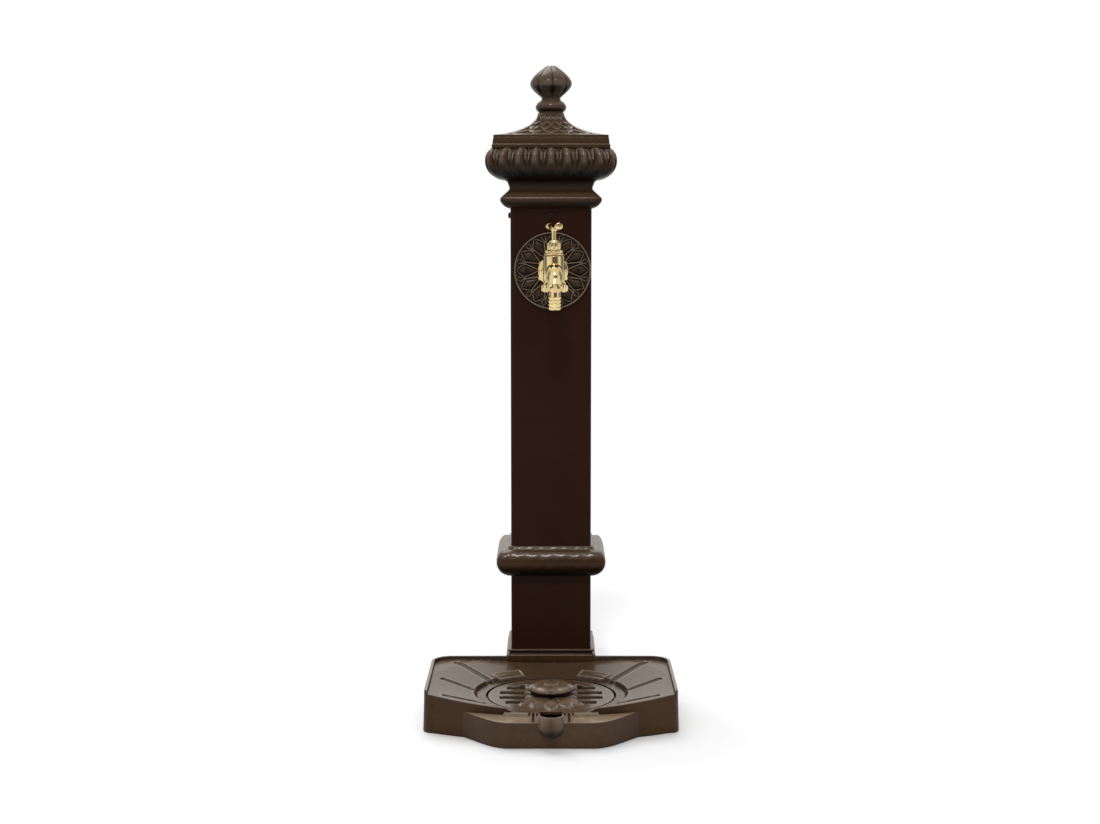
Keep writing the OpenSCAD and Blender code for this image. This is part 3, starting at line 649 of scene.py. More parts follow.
FINISHES: dict[Finish, Enamel | Metal | Soft] = {
    Finish.CAST: Enamel(
        "cast_enamel",
        dark=(0.038, 0.0172, 0.0066),
        light=(0.053, 0.0258, 0.0108),
        worn_and_highlight=(0.38, 0.305, 0.235),
        dust_and_top_light=(0.105, 0.068, 0.039),
        rough=0.4,
        grain=0.26,
        sheen=0.58,
        gloss=0.22,
    ),
    Finish.TUBE: Enamel(
        "tube_enamel",
        dark=(0.0215, 0.0072, 0.0036),
        light=(0.0255, 0.0092, 0.0048),
        worn_and_highlight=(0.05, 0.03, 0.02),
        dust_and_top_light=(0.05, 0.03, 0.02),
        rough=0.36,
        grain=0.07,
        sheen=0.5,
        specular=0.06,
    ),
    Finish.SCREW: Enamel(
        "blackened_screw",
        dark=(0.014, 0.0095, 0.007),
        light=(0.02, 0.014, 0.01),
        worn_and_highlight=(0.09, 0.075, 0.06),
        dust_and_top_light=(0.05, 0.038, 0.03),
        rough=0.36,
        grain=0.2,
        sheen=0.5,
        specular=0.1,
    ),
    Finish.ZINC: Metal("zinc_plate", (0.62, 0.63, 0.65), (0.5, 0.51, 0.53), 0.36, 0.1),
    Finish.BRASS: Metal("polished_brass", (0.8, 0.63, 0.33), (0.68, 0.52, 0.235), 0.11, 0.05),
    Finish.FIBRE: Soft("red_fibre", (0.26, 0.07, 0.035), (0.36, 0.12, 0.06), 0.8),
    Finish.RUBBER: Soft("black_rubber", (0.02, 0.02, 0.02), (0.03, 0.03, 0.03), 0.65),
}


class Paintshop:
    """Makes each finish once."""

    def __init__(self) -> None:
        """Starts with no material."""
        self.made: dict[Finish, bpy.types.Material] = {}

    def get(self, finish: Finish) -> bpy.types.Material:
        """The material of a finish."""
        if finish not in self.made:
            self.made[finish] = FINISHES[finish].make()
        return self.made[finish]


# Pieces


@dataclass
class Piece:
    """One finished piece and the CAD nodes that it stands for."""

    name: str
    skin: Skin
    finish: Finish
    nodes: tuple[str, ...]
    body: Body = Body.STANDPIPE
    crease: float = 38.0

    def make(self, shop: Paintshop, axis_y: float) -> bpy.types.Object:
        """Makes the object in the row frame and hands it to the frame.

        Args:
            shop: Where the finishes are.
            axis_y: Place of the column axis in the row frame, in millimetres.

        Returns:
            The object.
        """
        mesh = bpy.data.meshes.new(self.name)
        points = (self.skin.points + np.array([0.0, axis_y, 0.0])) * MM
        mesh.from_pydata(points.tolist(), [], [row for f in self.skin.faces for row in f.tolist()])
        for mark, values in (("hollow", self.skin.hollow), ("ridge", self.skin.ridge)):
            data = mesh.attributes.new(mark, "FLOAT", "POINT").data
            data.foreach_set("value", values.astype(np.float32))
        mesh.polygons.foreach_set("use_smooth", np.ones(len(mesh.polygons), dtype=bool))
        mesh.set_sharp_from_angle(angle=math.radians(self.crease))
        mesh.update()
        piece = bpy.data.objects.new(self.name, mesh)
        bpy.context.scene.collection.objects.link(piece)
        mesh.materials.append(shop.get(self.finish))
        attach(piece, self.body.value)
        if self.nodes:
            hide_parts(*self.nodes)
        return piece


# Parts of the standpipe


@dataclass
class Base:
    """Cast base: dished top, rim, bowed front, apron, spout cup, drain pot and rear foot."""

    half_w: float
    rim: float
    back: float
    grate_y: float
    foot: float
    foot_h: float
    around: int = 900
    draft: float = 1.7
    lip: float = 5.0
    ledge: float = 36.0
    corner_y: float = -264.0
    bow_y: float = -312.0
    apron_y: float = -346.0
    apron_flat: float = 58.0
    apron_start: float = 155.0
    back_r: float = 30.0
    front_r: float = 13.0
    recess_r: float = 91.5
    gap_r: float = 92.8
    flat_z: float = 40.4
    seat: float = 33.0
    under: float = 28.0
    pot_r: float = 85.0
    pot_wall: float = 5.0
    pot_low: float = 6.0
    sump: float = 12.0
    drain_r: float = 20.0
    channel: float = 15.0
    channel_z: float = 23.0
    channel_from: float = 74.0
    cup_r: float = 17.5
    cup_z: float = 32.0
    cup_wall: float = 2.5
    cup_lip: float = 47.5
    step_h: float = 4.0
    step_x: tuple[float, float] = (31.0, 66.0)
    foot_wall: float = 6.0
    foot_plate: float = 44.0
    pipe_hole: float = 22.0
    groove_w: float = 11.0
    groove_d: float = 2.0
    grooves: tuple[tuple[float, float, float, float], ...] = (
        (106.0, 34.0, 197.5, 43.0),
        (110.0, 4.0, 166.5, 16.0),
        (110.0, -37.0, 158.5, -16.0),
    )
    tiles: tuple[tuple[float, float], ...] = ((43.0, 68.0), (112.0, 137.0))
    tile_r: tuple[float, float] = (99.0, 122.0)
    tile_top_r: tuple[float, ...] = (97.0, 106.0, 110.0, 122.0)
    tile_top_z: tuple[float, ...] = (44.6, 45.0, 46.7, 48.3)
    dish_r: tuple[float, float, float] = (106.0, 110.0, 180.5)
    dish_z: tuple[float, float] = (45.5, 55.0)
    rail_x: tuple[float, ...] = (-27.5, -21.6, 21.6, 27.5)

    def bow(self, x: Array, d: float = 0.0) -> Array:
        """Front edge of the tray at x: an arc through both corners and the middle."""
        sag = self.corner_y - self.bow_y
        hx = self.half_w - self.draft
        r = (hx * hx + sag * sag) / (2 * sag)
        return self.bow_y + d + r - np.sqrt(r * r - np.clip(x, -hx, hx) ** 2)

    def outline(self, d: float, directions: Array) -> Array:
        """Distance from the grate's middle to the tray's outline, drawn in.

        The outline is drawn in by d at the sides and the back, and by a fifth of it in front.

        Args:
            d: How far the outline is drawn in.
            directions: Angles in radians, -pi to pi.

        Returns:
            The distances.
        """
        hx, yb = self.half_w - self.draft - d, self.back - d
        rb, rf = max(self.back_r - d, 2.0), max(self.front_r - d, 1.5)
        x1 = hx - rf
        x = np.linspace(-x1, x1, 400)
        front = np.stack([x, self.bow(x, 0.2 * d)], axis=1)
        yc = front[0, 1] + rf
        loop = path_points(
            front,
            arc(x1, yc, rf, -68, 0, 20),
            arc(hx - rb, yb - rb, rb, 0, 90, 60),
            arc(-hx + rb, yb - rb, rb, 90, 180, 60),
            arc(-x1, yc, rf, 180, 248, 20),
        )
        loop = np.concatenate([loop, loop[:1]])
        t = np.linspace(0.0, 1.0, 12, endpoint=False)[None, :, None]
        dense = (loop[:-1, None] * (1 - t) + loop[1:, None] * t).reshape(-1, 2)
        x, y = dense[:, 0], dense[:, 1] - self.grate_y
        a = np.arctan2(y, x)
        order = np.argsort(a)
        return np.interp(directions, a[order], np.hypot(x, y)[order], period=TAU)

    def rim_distance(self, x: Array, y: Array) -> Array:
        """Distance inwards from the sides, the back and its round corners, not from the front."""
        hx = self.half_w - self.draft
        qx = np.abs(x) - (hx - self.back_r)
        qy = y - (self.back - self.back_r)
        outside = np.hypot(np.maximum(qx, 0.0), np.maximum(qy, 0.0))
        return self.back_r - outside - np.minimum(np.maximum(qx, qy), 0.0)

    def in_groove(self, r: Array, a: Array) -> tuple[Array, Array]:
        """How far inside the nearest groove a point lies, and how far behind its middle line.

        Each groove is a strip of one width from its inner to its outer end, and is mirrored in X.

        Args:
            r: Distances from the grate's middle.
            a: Directions in radians.

        Returns:
            Millimetres inside, negative outside, and millimetres behind the middle line.
        """
        point = np.abs(r * np.cos(a)) + 1j * r * np.sin(a)
        inside, behind = np.full_like(r, -99.0), np.zeros_like(r)
        for r0, a0, r1, a1 in self.grooves:
            start, end = (q * np.exp(1j * math.radians(w)) for q, w in ((r0, a0), (r1, a1)))
            run = abs(end - start)
            local = (point - start) * np.conj(end - start) / run
            across = self.groove_w / 2 - np.abs(local.imag)
            here = np.minimum(across, np.minimum(local.real, run - local.real))
            behind = np.where(here > inside, local.imag, behind)
            inside = np.maximum(inside, here)
        return inside, behind

    def in_tile(self, r: Array, a: Array) -> Array:
        """How far inside the nearest arc tile a point lies, in millimetres, negative outside."""
        inside = np.full_like(r, -99.0)
        sides = np.minimum(r - self.tile_r[0], self.tile_r[1] - r)
        for low, high in self.tiles:
            ends = np.minimum(a - math.radians(low), math.radians(high) - a) * r
            inside = np.maximum(inside, np.minimum(ends, sides))
        return inside

    def in_channel(self, x: Array, y: Array) -> Array:
        """Channel to the spout: 1 in it, 0 outside and a smooth step between."""
        across = ease((self.channel + 0.3 - np.abs(x)) / 0.6)
        return across * ease(self.grate_y - self.channel_from - y)

    def rings(self, a: Array) -> Array:
        """Distances of the top's rings from the grate's middle.

        The first rings are round, and drawn in where the front is close. The next spread evenly
        to the outline, and the last follow it.

        Args:
            a: Directions in radians, -pi to pi.

        Returns:
            Rings by directions.
        """
        ring_edge = [93.2, 94.0, 95.4, 97.6, 98.4, 99.2, 100.0, 101.2, 102.6, 104.4]
        step_edge = [105.6, 106.4, 108.0, 109.6, 110.4, 112.0, 114.0, 116.0, 118.0, 119.2]
        flat = np.array(ring_edge + step_edge)
        first, last = flat[0], 120.0
        edge = self.outline(7.0, a)
        reach = np.minimum(last, edge - 1.0)
        inner = first + (flat[:, None] - first) * np.minimum(1.0, (reach - first) / (last - first))
        middle = reach + (edge - reach) * np.linspace(0.0, 1.0, 62)[:, None]
        near = [self.outline(d, a) for d in (6.0, 5.5, 5.2, 4.9, 4.6, 4.0, 2.4, 1.1)]
        return path_points(inner, middle, near)

    def deck(self, r: Array, a: Array) -> tuple[Array, Array, Array]:
        """Dished top: height and marks of each point.

        Height is the dish (flat, step, cone), less the grooves, raised to the rim within its width
        of the sides and back, raised to the arc tiles and cut down in the channel to the spout.

        Args:
            r: Distances from the grate's middle.
            a: Directions in radians, -pi to pi.

        Returns:
            Heights in millimetres, then painted shade, and rubbed paint with painted highlights, 0
            to 1.
        """
        x, y = r * np.cos(a), r * np.sin(a) + self.grate_y
        z = np.interp(r, self.dish_r, (self.flat_z, *self.dish_z))
        slope = np.interp(r, (96.0, self.dish_r[2]), (self.flat_z, self.dish_z[1]))
        plain = ease((22.0 - np.abs(np.degrees(a) - 90.0)) / 4.0 + 0.5)
        z = z + (slope - z) * plain
        (in_groove, behind), in_tile = self.in_groove(r, a), self.in_tile(r, a)
        groove, bar = ease((in_groove + 0.8) / 1.6), ease(in_tile + 0.5)
        z = z - self.groove_d * groove
        in_lip = self.lip - self.rim_distance(x, y)
        lip = ease((in_lip + 0.35) / 0.7)
        z = z + (self.rim - z) * lip
        frame = hump(in_tile - 2.0, 1.8)
        z = z + (np.interp(r, self.tile_top_r, self.tile_top_z) + frame - z) * bar
        cut = self.in_channel(x, y)
        z = z + (self.channel_z - z) * cut
        # Painted shade: a little over the whole top, more at the recess gap, as a dark line inside
        # the rim, under the tiles, on the groove banks, at the step and in the channel.
        gap = 0.7 * ease(self.gap_r + 1.1 - r)
        side = 0.75 * hump(in_lip, 0.8)
        under = 0.6 * hump(in_tile + 0.4, 0.7)
        bank = groove * (0.12 + 0.7 * ease((behind + 3.0) / 3.0))
        rise = (1.0 - plain) * (1.0 - bar) * (1.0 - groove)
        step = 0.6 * rise * ease(r - 105.0) * ease(111.0 - r)
        hollow = most(0.2 * (1.0 - lip), bank, gap, side, under, step, cut)
        # Rubbed paint with painted highlights on the rim's edge, the tile frames, the groove edges
        # and the step's brow, none in the channel.
        near = hump(in_groove + 1.6, 1.5) * np.where(behind < 0.0, 1.5, 0.5)
        brow = rise * hump(r - 112.0, 1.1)
        edges = most(hump(in_lip - 1.2, 1.2), 1.8 * frame, near, brow)
        return z, hollow, unit(most(0.5 * edges, 0.12 * bar)) * (1.0 - cut)

    def tray(self) -> Skin:
        """Dished top and outer wall: rings from the grate's recess to the rim, down and under."""
        a = angles(self.around, 0.5) - math.pi
        r = self.rings(a)
        z, hollow, ridge = self.deck(r, a)
        hole, gap, flat_z = self.pot_r + 0.3, self.gap_r, self.flat_z
        recess = [(hole, self.under), (hole, self.seat), (gap, self.seat)]
        recess += [(gap, flat_z - 0.8), (gap + 0.15, flat_z - 0.25)]
        start = [self.at_ring(r0, a, np.minimum(z0, z[0])) for r0, z0 in recess]
        top = self.at_ring(r, a, z)
        wall = [(0.35, -0.25), (0.0, -1.1)]
        drops = [self.at_ring(self.outline(d, a), a, z[-1] + dz) for d, dz in wall]
        foot = [(-0.35, 40.0), (-0.8, 28.0), (-1.3, 12.0), (-1.65, 2.0)]
        foot += [(-1.5, 0.6), (-0.9, 0.0), (5.0, 0.0)]
        low = z[-1] - 1.2
        drops += [self.at_ring(self.outline(d, a), a, np.minimum(h, low)) for d, h in foot]
        inner = self.outline(6.0, a)
        for far in (1.0, 0.66, 0.33):
            r0 = hole + 6.0 + (inner - hole - 6.0) * far
            ceiling = np.interp(r0, self.dish_r[::2], (self.under, 47.0))
            drops.append(self.at_ring(r0, a, np.minimum(ceiling, low)))
        rest = ((len(start), len(drops)), (0, 0))
        hollow, ridge = np.pad(hollow, rest), np.pad(ridge, rest)
        # Painted shade in the grate's recess.
        hollow[: len(start)] = 0.9
        # Rubbed paint with a painted highlight along the top's front brim.
        last = len(start) + len(r)
        brim = slice(last - 2, last + 1)
        worn_and_highlight = 0.4 * (1.0 - self.in_channel(top[-1, :, 0], top[-1, :, 1]))
        ridge[brim] = np.maximum(ridge[brim], worn_and_highlight)
        return Skin.grid(path_points(start, top, drops), hollow, ridge, along=True)

    def at_ring(self, r: Array | float, a: Array, z: Array | float) -> Array:
        """Points at radius and angle from the grate's middle, at a height."""
        return polar(r, a, z) + np.array([0.0, self.grate_y, 0.0])

    def pot(self) -> Skin:
        """Drain pot: turned, with a flange and an outlet, cut down where the channel leaves."""
        out, inn, d = self.pot_r, self.pot_r - self.pot_wall, self.drain_r
        profile = rounded(
            (self.recess_r - 0.3, self.seat, 0.0),
            (out, self.seat, 0.5),
            (out, self.pot_low, 4.0),
            (d + 5.0, self.pot_low, 1.0),
            (d + 5.0, 0.0, 0.5),
            (d, 0.0, 0.5),
            (d, self.sump, 1.5),
            (inn, self.sump, 3.0),
            (inn, self.ledge, 1.0),
            (self.recess_r - 0.3, self.ledge, 0.0),
        )
        pot = turning(profile, 360, ring=True)
        x, y, z = pot.points.T
        cut = (np.abs(x) < self.channel) & (y < -self.channel_from)
        pot.points[:, 2] = np.where(cut, np.minimum(z, self.channel_z), z)
        # Painted shade: dark inside the pot, lighter outside.
        pot.hollow = np.where(np.hypot(x, y) < inn + 0.5, 0.8, 0.3)
        return pot.moved((0.0, self.grate_y, 0.0))

    def apron_edge(self, x: Array) -> Array:
        """Front of the apron at x: half a cosine wave from the straight front out to the flat."""
        t = unit((self.apron_start - np.abs(x)) / (self.apron_start - self.apron_flat))
        start = self.corner_y - 7.0
        return start + (self.apron_y - start) * (1 - np.cos(math.pi * t)) / 2

    def apron(self) -> Skin:
        """Ledge and wall of the apron: a section carried along X.

        It runs from the tray out to the edge, down and back inside. Beside the cup it has a step:
        it is raised within seven millimetres of the tray's front.
        """
        narrow, wide = self.channel - 0.2, self.channel + 0.2
        half = path_points(np.linspace(0.0, narrow, 14), np.linspace(wide, self.apron_start, 130))
        x = path_points(-half[:0:-1], half)
        inside = self.bow(x) + 3.0
        edge = np.minimum(self.apron_edge(x), inside - 0.8)
        low = np.abs(x) < self.channel
        top = np.where(low, self.channel_z, self.ledge)
        deep = inside - edge - 1.6
        kept = np.array([[0.0, 4.0, 9.5, 10.5], [0.0, 0.12, 0.29, 0.31]])
        close = np.minimum(kept[0][:, None], kept[1][:, None] * deep)
        t = np.linspace(0.0, 1.0, 15)[1:, None]
        y = inside - np.concatenate([close, close[-1] + (deep - close[-1]) * t])
        side = ease(np.abs(x) - self.step_x[0] + 0.5) * ease(self.step_x[1] + 0.5 - np.abs(x))
        step = np.zeros_like(y)
        step[:3] = side
        z = top + self.step_h * step
        steps = [(0.9, -0.12), (0.35, -0.5), (0.05, -1.2), (0.0, -2.0)]
        back = np.minimum(edge + 6.0, inside)
        ys = [edge + d for d, _ in steps] + [edge - d for d in (0.4, 0.8, 1.0, 0.7, 0.0)]
        ys += [back, back, inside]
        flat = [np.full_like(x, h) for h in (18.0, 8.0, 1.8, 0.5, 0.0, 0.0)]
        zs = [top + dz for _, dz in steps] + flat + [top - 5.0, top - 5.0]
        y = np.concatenate([y, np.stack(ys)])
        z = np.concatenate([z, np.stack(zs)])
        p = np.stack([np.broadcast_to(x, y.shape), y, z], axis=-1)
        # Painted shade in the channel and between the rails beside the cup.
        hollow = np.where(low[None, :] & (z > 24.0), 1.0, 0.0)
        between = ease(2.6 - np.abs(np.abs(x) - 24.5))
        hollow[: len(step)] = np.maximum(hollow[: len(step)], 0.8 * between)
        # Rubbed paint and painted top light on the ledge, and a faint painted light on the front
        # wall that fades towards the ends.
        ridge = np.zeros_like(z)
        ridge[: len(step)] = np.where(low, 0.0, 0.85 * (1.0 - between))
        ridge[len(step) : len(step) + 8] = 0.07 * unit((140.0 - np.abs(x)) / 60.0)
        return Skin.grid(p.transpose(1, 0, 2), hollow.T, ridge.T, closed=True)

    def cup(self) -> Skin:
        """Spout cup: a turned half ball and a wall with a round lip, cut down for the channel."""
        r, inn, lip, low = self.cup_r, self.cup_r - self.cup_wall, self.cup_lip, self.cup_z
        wall = rounded((r, low + 1.0, 0.0), (r, lip, 1.0), (inn, lip, 1.0), (inn, low + 1.0, 0.0))
        outer, inner = arc(0.0, low, r, -89.0, 0.0, 30), arc(0.0, low, inn, 0.0, -89.0, 24)
        cup = turning(path_points(outer, wall, inner), 192)
        x, y, z = cup.points.T
        entry = (y > 1.0) & (np.abs(x) < self.channel)
        cup.points[:, 2] = np.where(entry, np.minimum(z, self.channel_z), z)
        below = np.minimum(z - low, 0.0)
        inside = np.hypot(np.hypot(x, y), below) < inn + 0.4
        # Painted shade inside the cup and as a dark band down the middle of its front; painted
        # highlights with rubbed paint on its sides and lip.
        cup.hollow = np.where(inside, 1.0, 0.3 * hump(x, 5.5))
        worn_and_highlight = 0.12 + 0.3 * (x / r) ** 2 + 0.3 * ease((z - lip + 2.5) / 2.0)
        cup.ridge = np.where(inside, 0.0, worn_and_highlight)
        return cup.moved((0.0, self.apron_y, 0.0))

    def rails(self) -> Skin:
        """Thin rails beside the cup and its channel: a rounded section carried along Y."""
        skins = []
        y = np.linspace(self.apron_y + 1.0, self.bow_y + 1.0, 12)
        a = np.linspace(0.0, math.pi, 13)
        swell = np.clip(np.minimum(y - y[0], 6.0) / 2.0, 0.12, 1.0) ** 0.5
        for x in self.rail_x:
            pz = self.ledge - 2.0 + (6.0 * np.sin(a) ** 0.5)[None, :] * swell[:, None]
            p = np.stack(np.broadcast_arrays(x + 1.3 * np.cos(a), y[:, None], pz), axis=-1)
            # Rubbed paint with painted highlights along the whole rail.
            skins.append(Skin.grid(p, ridge=np.full(pz.shape, 0.55), closed=True))
        return Skin.together(*skins)

    def rear_foot(self) -> Skin:
        """Rear foot under the column: a block, empty inside, with rounded edges, from the tray's
        back.
        """
        f, inn = self.foot, self.foot - self.foot_wall
        rows = rounded(
            (inn, 0.0, 0.0),
            (f, 0.0, 1.0),
            (f, self.foot_h, 1.0),
            (self.pipe_hole, self.foot_h, 0.0),
            (self.pipe_hole, self.foot_plate, 0.0),
            (inn, self.foot_plate, 1.0),
            (inn, 0.0, 0.0),
        )
        w, z = np.hsplit(rows, 2)
        square = np.where(w < self.pipe_hole + 1.0, 2.0, 40.0)
        foot = square_turning(w, z, square, side_places(24), along=False)
        front = self.back + 0.1
        foot.points[:, 1] = front + (foot.points[:, 1] + f) * (f - front) / (2 * f)
        return foot

    def pieces(self) -> list[Piece]:
        """The pieces of the base."""
        front = Skin.together(self.apron(), self.cup(), self.rails())
        return [
            Piece("base_tray", self.tray(), Finish.CAST, ("base_casting",)),
            Piece("base_apron", front, Finish.CAST, ()),
            Piece("drain_bowl", self.pot(), Finish.CAST, ("drain_pot",)),
            Piece("rear_foot", self.rear_foot(), Finish.CAST, ("column_foot",)),
        ]


@dataclass
class Grate:
    """Round drain grate with slots and a raised rosette."""

    y: float
    r: float
    low: float
    around: int = 540
    top: float = 40.0
    slot_w: float = 15.0
    slot_in: float = 38.0
    rows: tuple[float, ...] = (-39.0, -13.0, 13.0, 39.0)
    front_leaves: tuple[tuple[float, float], ...] = ((-110.0, 20.0), (-90.0, 27.0), (-70.0, 20.0))
    knob_r: float = 33.5

    def in_slot(self, x: Array, y: Array) -> Array:
        """How far inside the nearest slot a point lies, in millimetres, negative outside."""
        inside = np.full_like(x, -99.0)
        for row in self.rows:
            end = math.sqrt((self.r - 12.0) ** 2 - row * row) - 4.0
            along = np.minimum(np.abs(x) - self.slot_in, end - np.abs(x))
            inside = np.maximum(inside, np.minimum(along, self.slot_w / 2 - np.abs(y - row)))
        return inside

    def relief(self, x: Array, y: Array) -> Array:
        """Height of the leaves: the root of 1 less the squares of the place along and across.

        Eight leaves stand round the knob, four longer ones lie crosswise, and three plain ones lie
        in front. Each has a direction, the place of its middle, its half length and half width,
        and the depth of the vein along it.
        """
        leaves = [(45.0 * i + 22.5, 24.0, 14.5, 9.5, 0.35) for i in range(8)]
        leaves += [(degrees, 46.0, 25.0, 9.0, 0.3) for degrees in (50.0, 130.0, -52.0, -128.0)]
        leaves += [(degrees, 56.0, length, 11.0, 0.0) for degrees, length in self.front_leaves]
        high = np.zeros_like(x)
        for degrees, middle, length, width, notch in leaves:
            turn = math.radians(degrees)
            along = x * math.cos(turn) + y * math.sin(turn)
            across = y * math.cos(turn) - x * math.sin(turn)
            rest = 1.0 - ((along - middle) / length) ** 2 - (across / width) ** 2
            leaf = np.sqrt(np.maximum(0.0, rest))
            vein = notch * hump(across, 1.1) * (leaf > 0)
            high = np.maximum(high, 4.0 * leaf * (1.0 - vein))
        return high

    def plate(self) -> Skin:
        """Plate as a height over rings: flat, less the slots, plus the leaves."""
        a = angles(self.around, 0.5) - math.pi
        slotted, border = np.linspace(6.0, 78.0, 100), np.linspace(79.0, self.r - 1.0, 10)
        edge = [self.r - 0.3, self.r, self.r, self.r]
        r = np.concatenate([slotted, border, edge])[:, None]
        x, y = r * np.cos(a), r * np.sin(a)
        in_slot = self.in_slot(x, y)
        slot = ease(in_slot + 0.5)
        relief = self.relief(x, y) * (1.0 - slot)
        z = self.top + relief - (self.top - self.low) * slot
        z[-3] -= 0.3
        z[-2] -= 1.0
        z[-1] = self.low + 0.2
        p = np.stack([x, y + self.y, z], axis=-1)
        deep = slot > 0.97
        next_col = np.roll(deep, -1, axis=1)
        keep = ~(deep[:-1] & deep[1:] & next_col[:-1] & next_col[1:])
        # Painted shade in the slots; rubbed paint with painted highlights on the leaves and on the
        # slot and rim edges.
        edges = hump(in_slot + 1.6, 1.2) + hump(r - self.r + 1.6, 1.0)
        edge_wear_and_highlight = unit(unit(relief / 4.0) ** 4 * 0.4 + 0.35 * edges)
        return Skin.grid(p, slot * 0.9, edge_wear_and_highlight, keep=keep)

    def knob(self) -> Skin:
        """Knob: a turned mushroom whose radius and top swell in six lobes round a plain button."""
        a, k = angles(320), self.knob_r
        profile = rounded(
            (k - 14.0, -1.0, 0.0),
            (k - 12.5, 4.0, 2.0),
            (k - 6.0, 5.4, 2.0),
            (k - 0.6, 7.4, 1.5),
            (k, 10.0, 2.0),
            (k - 3.0, 13.8, 3.0),
            (k - 10.0, 16.6, 4.0),
            (13.0, 16.4, 1.5),
            (11.0, 15.2, 1.0),
            (9.0, 17.6, 2.0),
            (0.6, 18.4, 0.0),
            n=7,
        )
        r, z = np.hsplit(profile, 2)
        lobe = np.abs(np.cos(3.0 * a)) ** 0.6
        weight = ease((r - 12.0) / 9.0)
        rr = r * (1.0 - 0.04 * weight * (1.0 - lobe))
        zz = z + 1.2 * weight * ease((z - 9.0) / 3.0) * (lobe - 1.0)
        p = polar(rr, a, zz + self.top)
        # Painted shade between the lobes and under the cap; rubbed paint with painted highlights on
        # the lobes' tops.
        under = unit((7.0 - z) / 3.0)
        hollow = np.maximum((1.0 - lobe) * weight * 0.55, under)
        ridge = (0.14 + 0.3 * lobe**2 * weight) * ease((z - 9.0) / 4.0)
        return Skin.grid(p, hollow, ridge, closed=True).moved((0.0, self.y, 0.0))

    def pieces(self) -> list[Piece]:
        """The pieces of the grate."""
        skin = Skin.together(self.plate(), self.knob())
        return [Piece("grate_rosette", skin, Finish.CAST, ("drain_grate",), Body.GRATE)]


@dataclass
class Column:
    """Square tube with its plinth collar and middle collar."""

    half: float
    low: float
    top: float
    plinth: float
    plinth_h: float
    collar: float
    collar_z: float
    collar_h: float
    wall: float = 4.0
    corner: float = 5.0

    def tube(self) -> Skin:
        """Square tube: a ring of outside and inside carried round a square with round corners."""

        def ring(h: float, r: float) -> Array:
            """Rounded square of half width h."""
            c = h - r
            corners = ((c, c, 0), (-c, c, 90), (-c, -c, 180), (c, -c, 270))
            return path_points(*(arc(x, y, r, a, a + 90, 9) for x, y, a in corners))

        out = ring(self.half, self.corner)
        inn = ring(self.half - self.wall, self.corner - self.wall)
        rows = [(out, self.low), (out, self.top), (inn, self.top), (inn, self.low)]
        p = np.stack([np.column_stack([q, np.full(len(q), z)]) for q, z in rows])
        return Skin.grid(p, along=True)

    def plinth_collar(self) -> Skin:
        """Plinth collar: a plain band, a groove and a lip, carried round the square."""
        w, h, z = self.plinth, self.plinth_h, self.low
        rows = rounded(
            (self.half + 0.4, z, 0.0),
            (w, z, 0.8),
            (w - 0.6, z + h - 8.0, 1.6),
            (w - 5.0, z + h - 6.6, 1.0),
            (w - 5.0, z + h - 3.6, 1.0),
            (w - 2.2, z + h - 3.0, 1.0),
            (w - 2.6, z + h, 1.4),
            (self.half + 0.4, z + h, 0.0),
        )
        wide, high = np.hsplit(rows, 2)
        # Painted shade in the groove.
        groove = (wide < w - 4.0) & (high < z + h - 3.0) & (high > z + 5.0)
        return square_turning(wide, high, 34.0, side_places(40), hollow=groove * 0.7)

    def mid_collar(self) -> Skin:
        """Middle collar: a half round carried round the square, a little uneven as cast."""
        r, w, z = self.collar_h / 2, self.collar, self.collar_z
        half_round = arc(w - r, z + r, r, -72.0, 44.0, 26)
        rows = path_points(
            np.array([[self.half + 0.4, z + 0.6], [w - r + 3.0, z]]),
            half_round,
            rounded(
                (half_round[-1, 0], half_round[-1, 1], 0.0),
                (self.half + 6.0, z + self.collar_h - 6.2, 4.0),
                (self.half + 3.2, z + self.collar_h - 0.6, 1.2),
                (self.half + 0.4, z + self.collar_h, 0.0),
            )[1:],
        )
        s = side_places(90)
        ww, zz = np.hsplit(rows, 2)
        waves = ((0.35, 9.0, 0.17), (0.3, 23.0, -0.31), (0.2, 47.0, 0.5))
        wave = sum(size * np.sin(along * s + up * zz) for size, along, up in waves)
        free = ease((ww - self.half - 1.5) / 4.0)
        lift = free * ease((zz - z - r) / 10.0)
        w_rows = ww + wave * free * 0.25 - 0.2 * free
        z_rows = zz + 0.3 * wave * lift - 0.2 * lift
        # An even painted shade over the whole collar.
        return square_turning(w_rows, z_rows, 20.0, s, hollow=np.full_like(zz, 0.15))

    def pieces(self) -> list[Piece]:
        """The pieces of the column."""
        return [
            Piece("column_skin", self.tube(), Finish.TUBE, ("column_tube",)),
            Piece("plinth_band", self.plinth_collar(), Finish.CAST, ("plinth_collar",)),
            Piece("collar_band", self.mid_collar(), Finish.CAST, ("mid_collar",)),
        ]


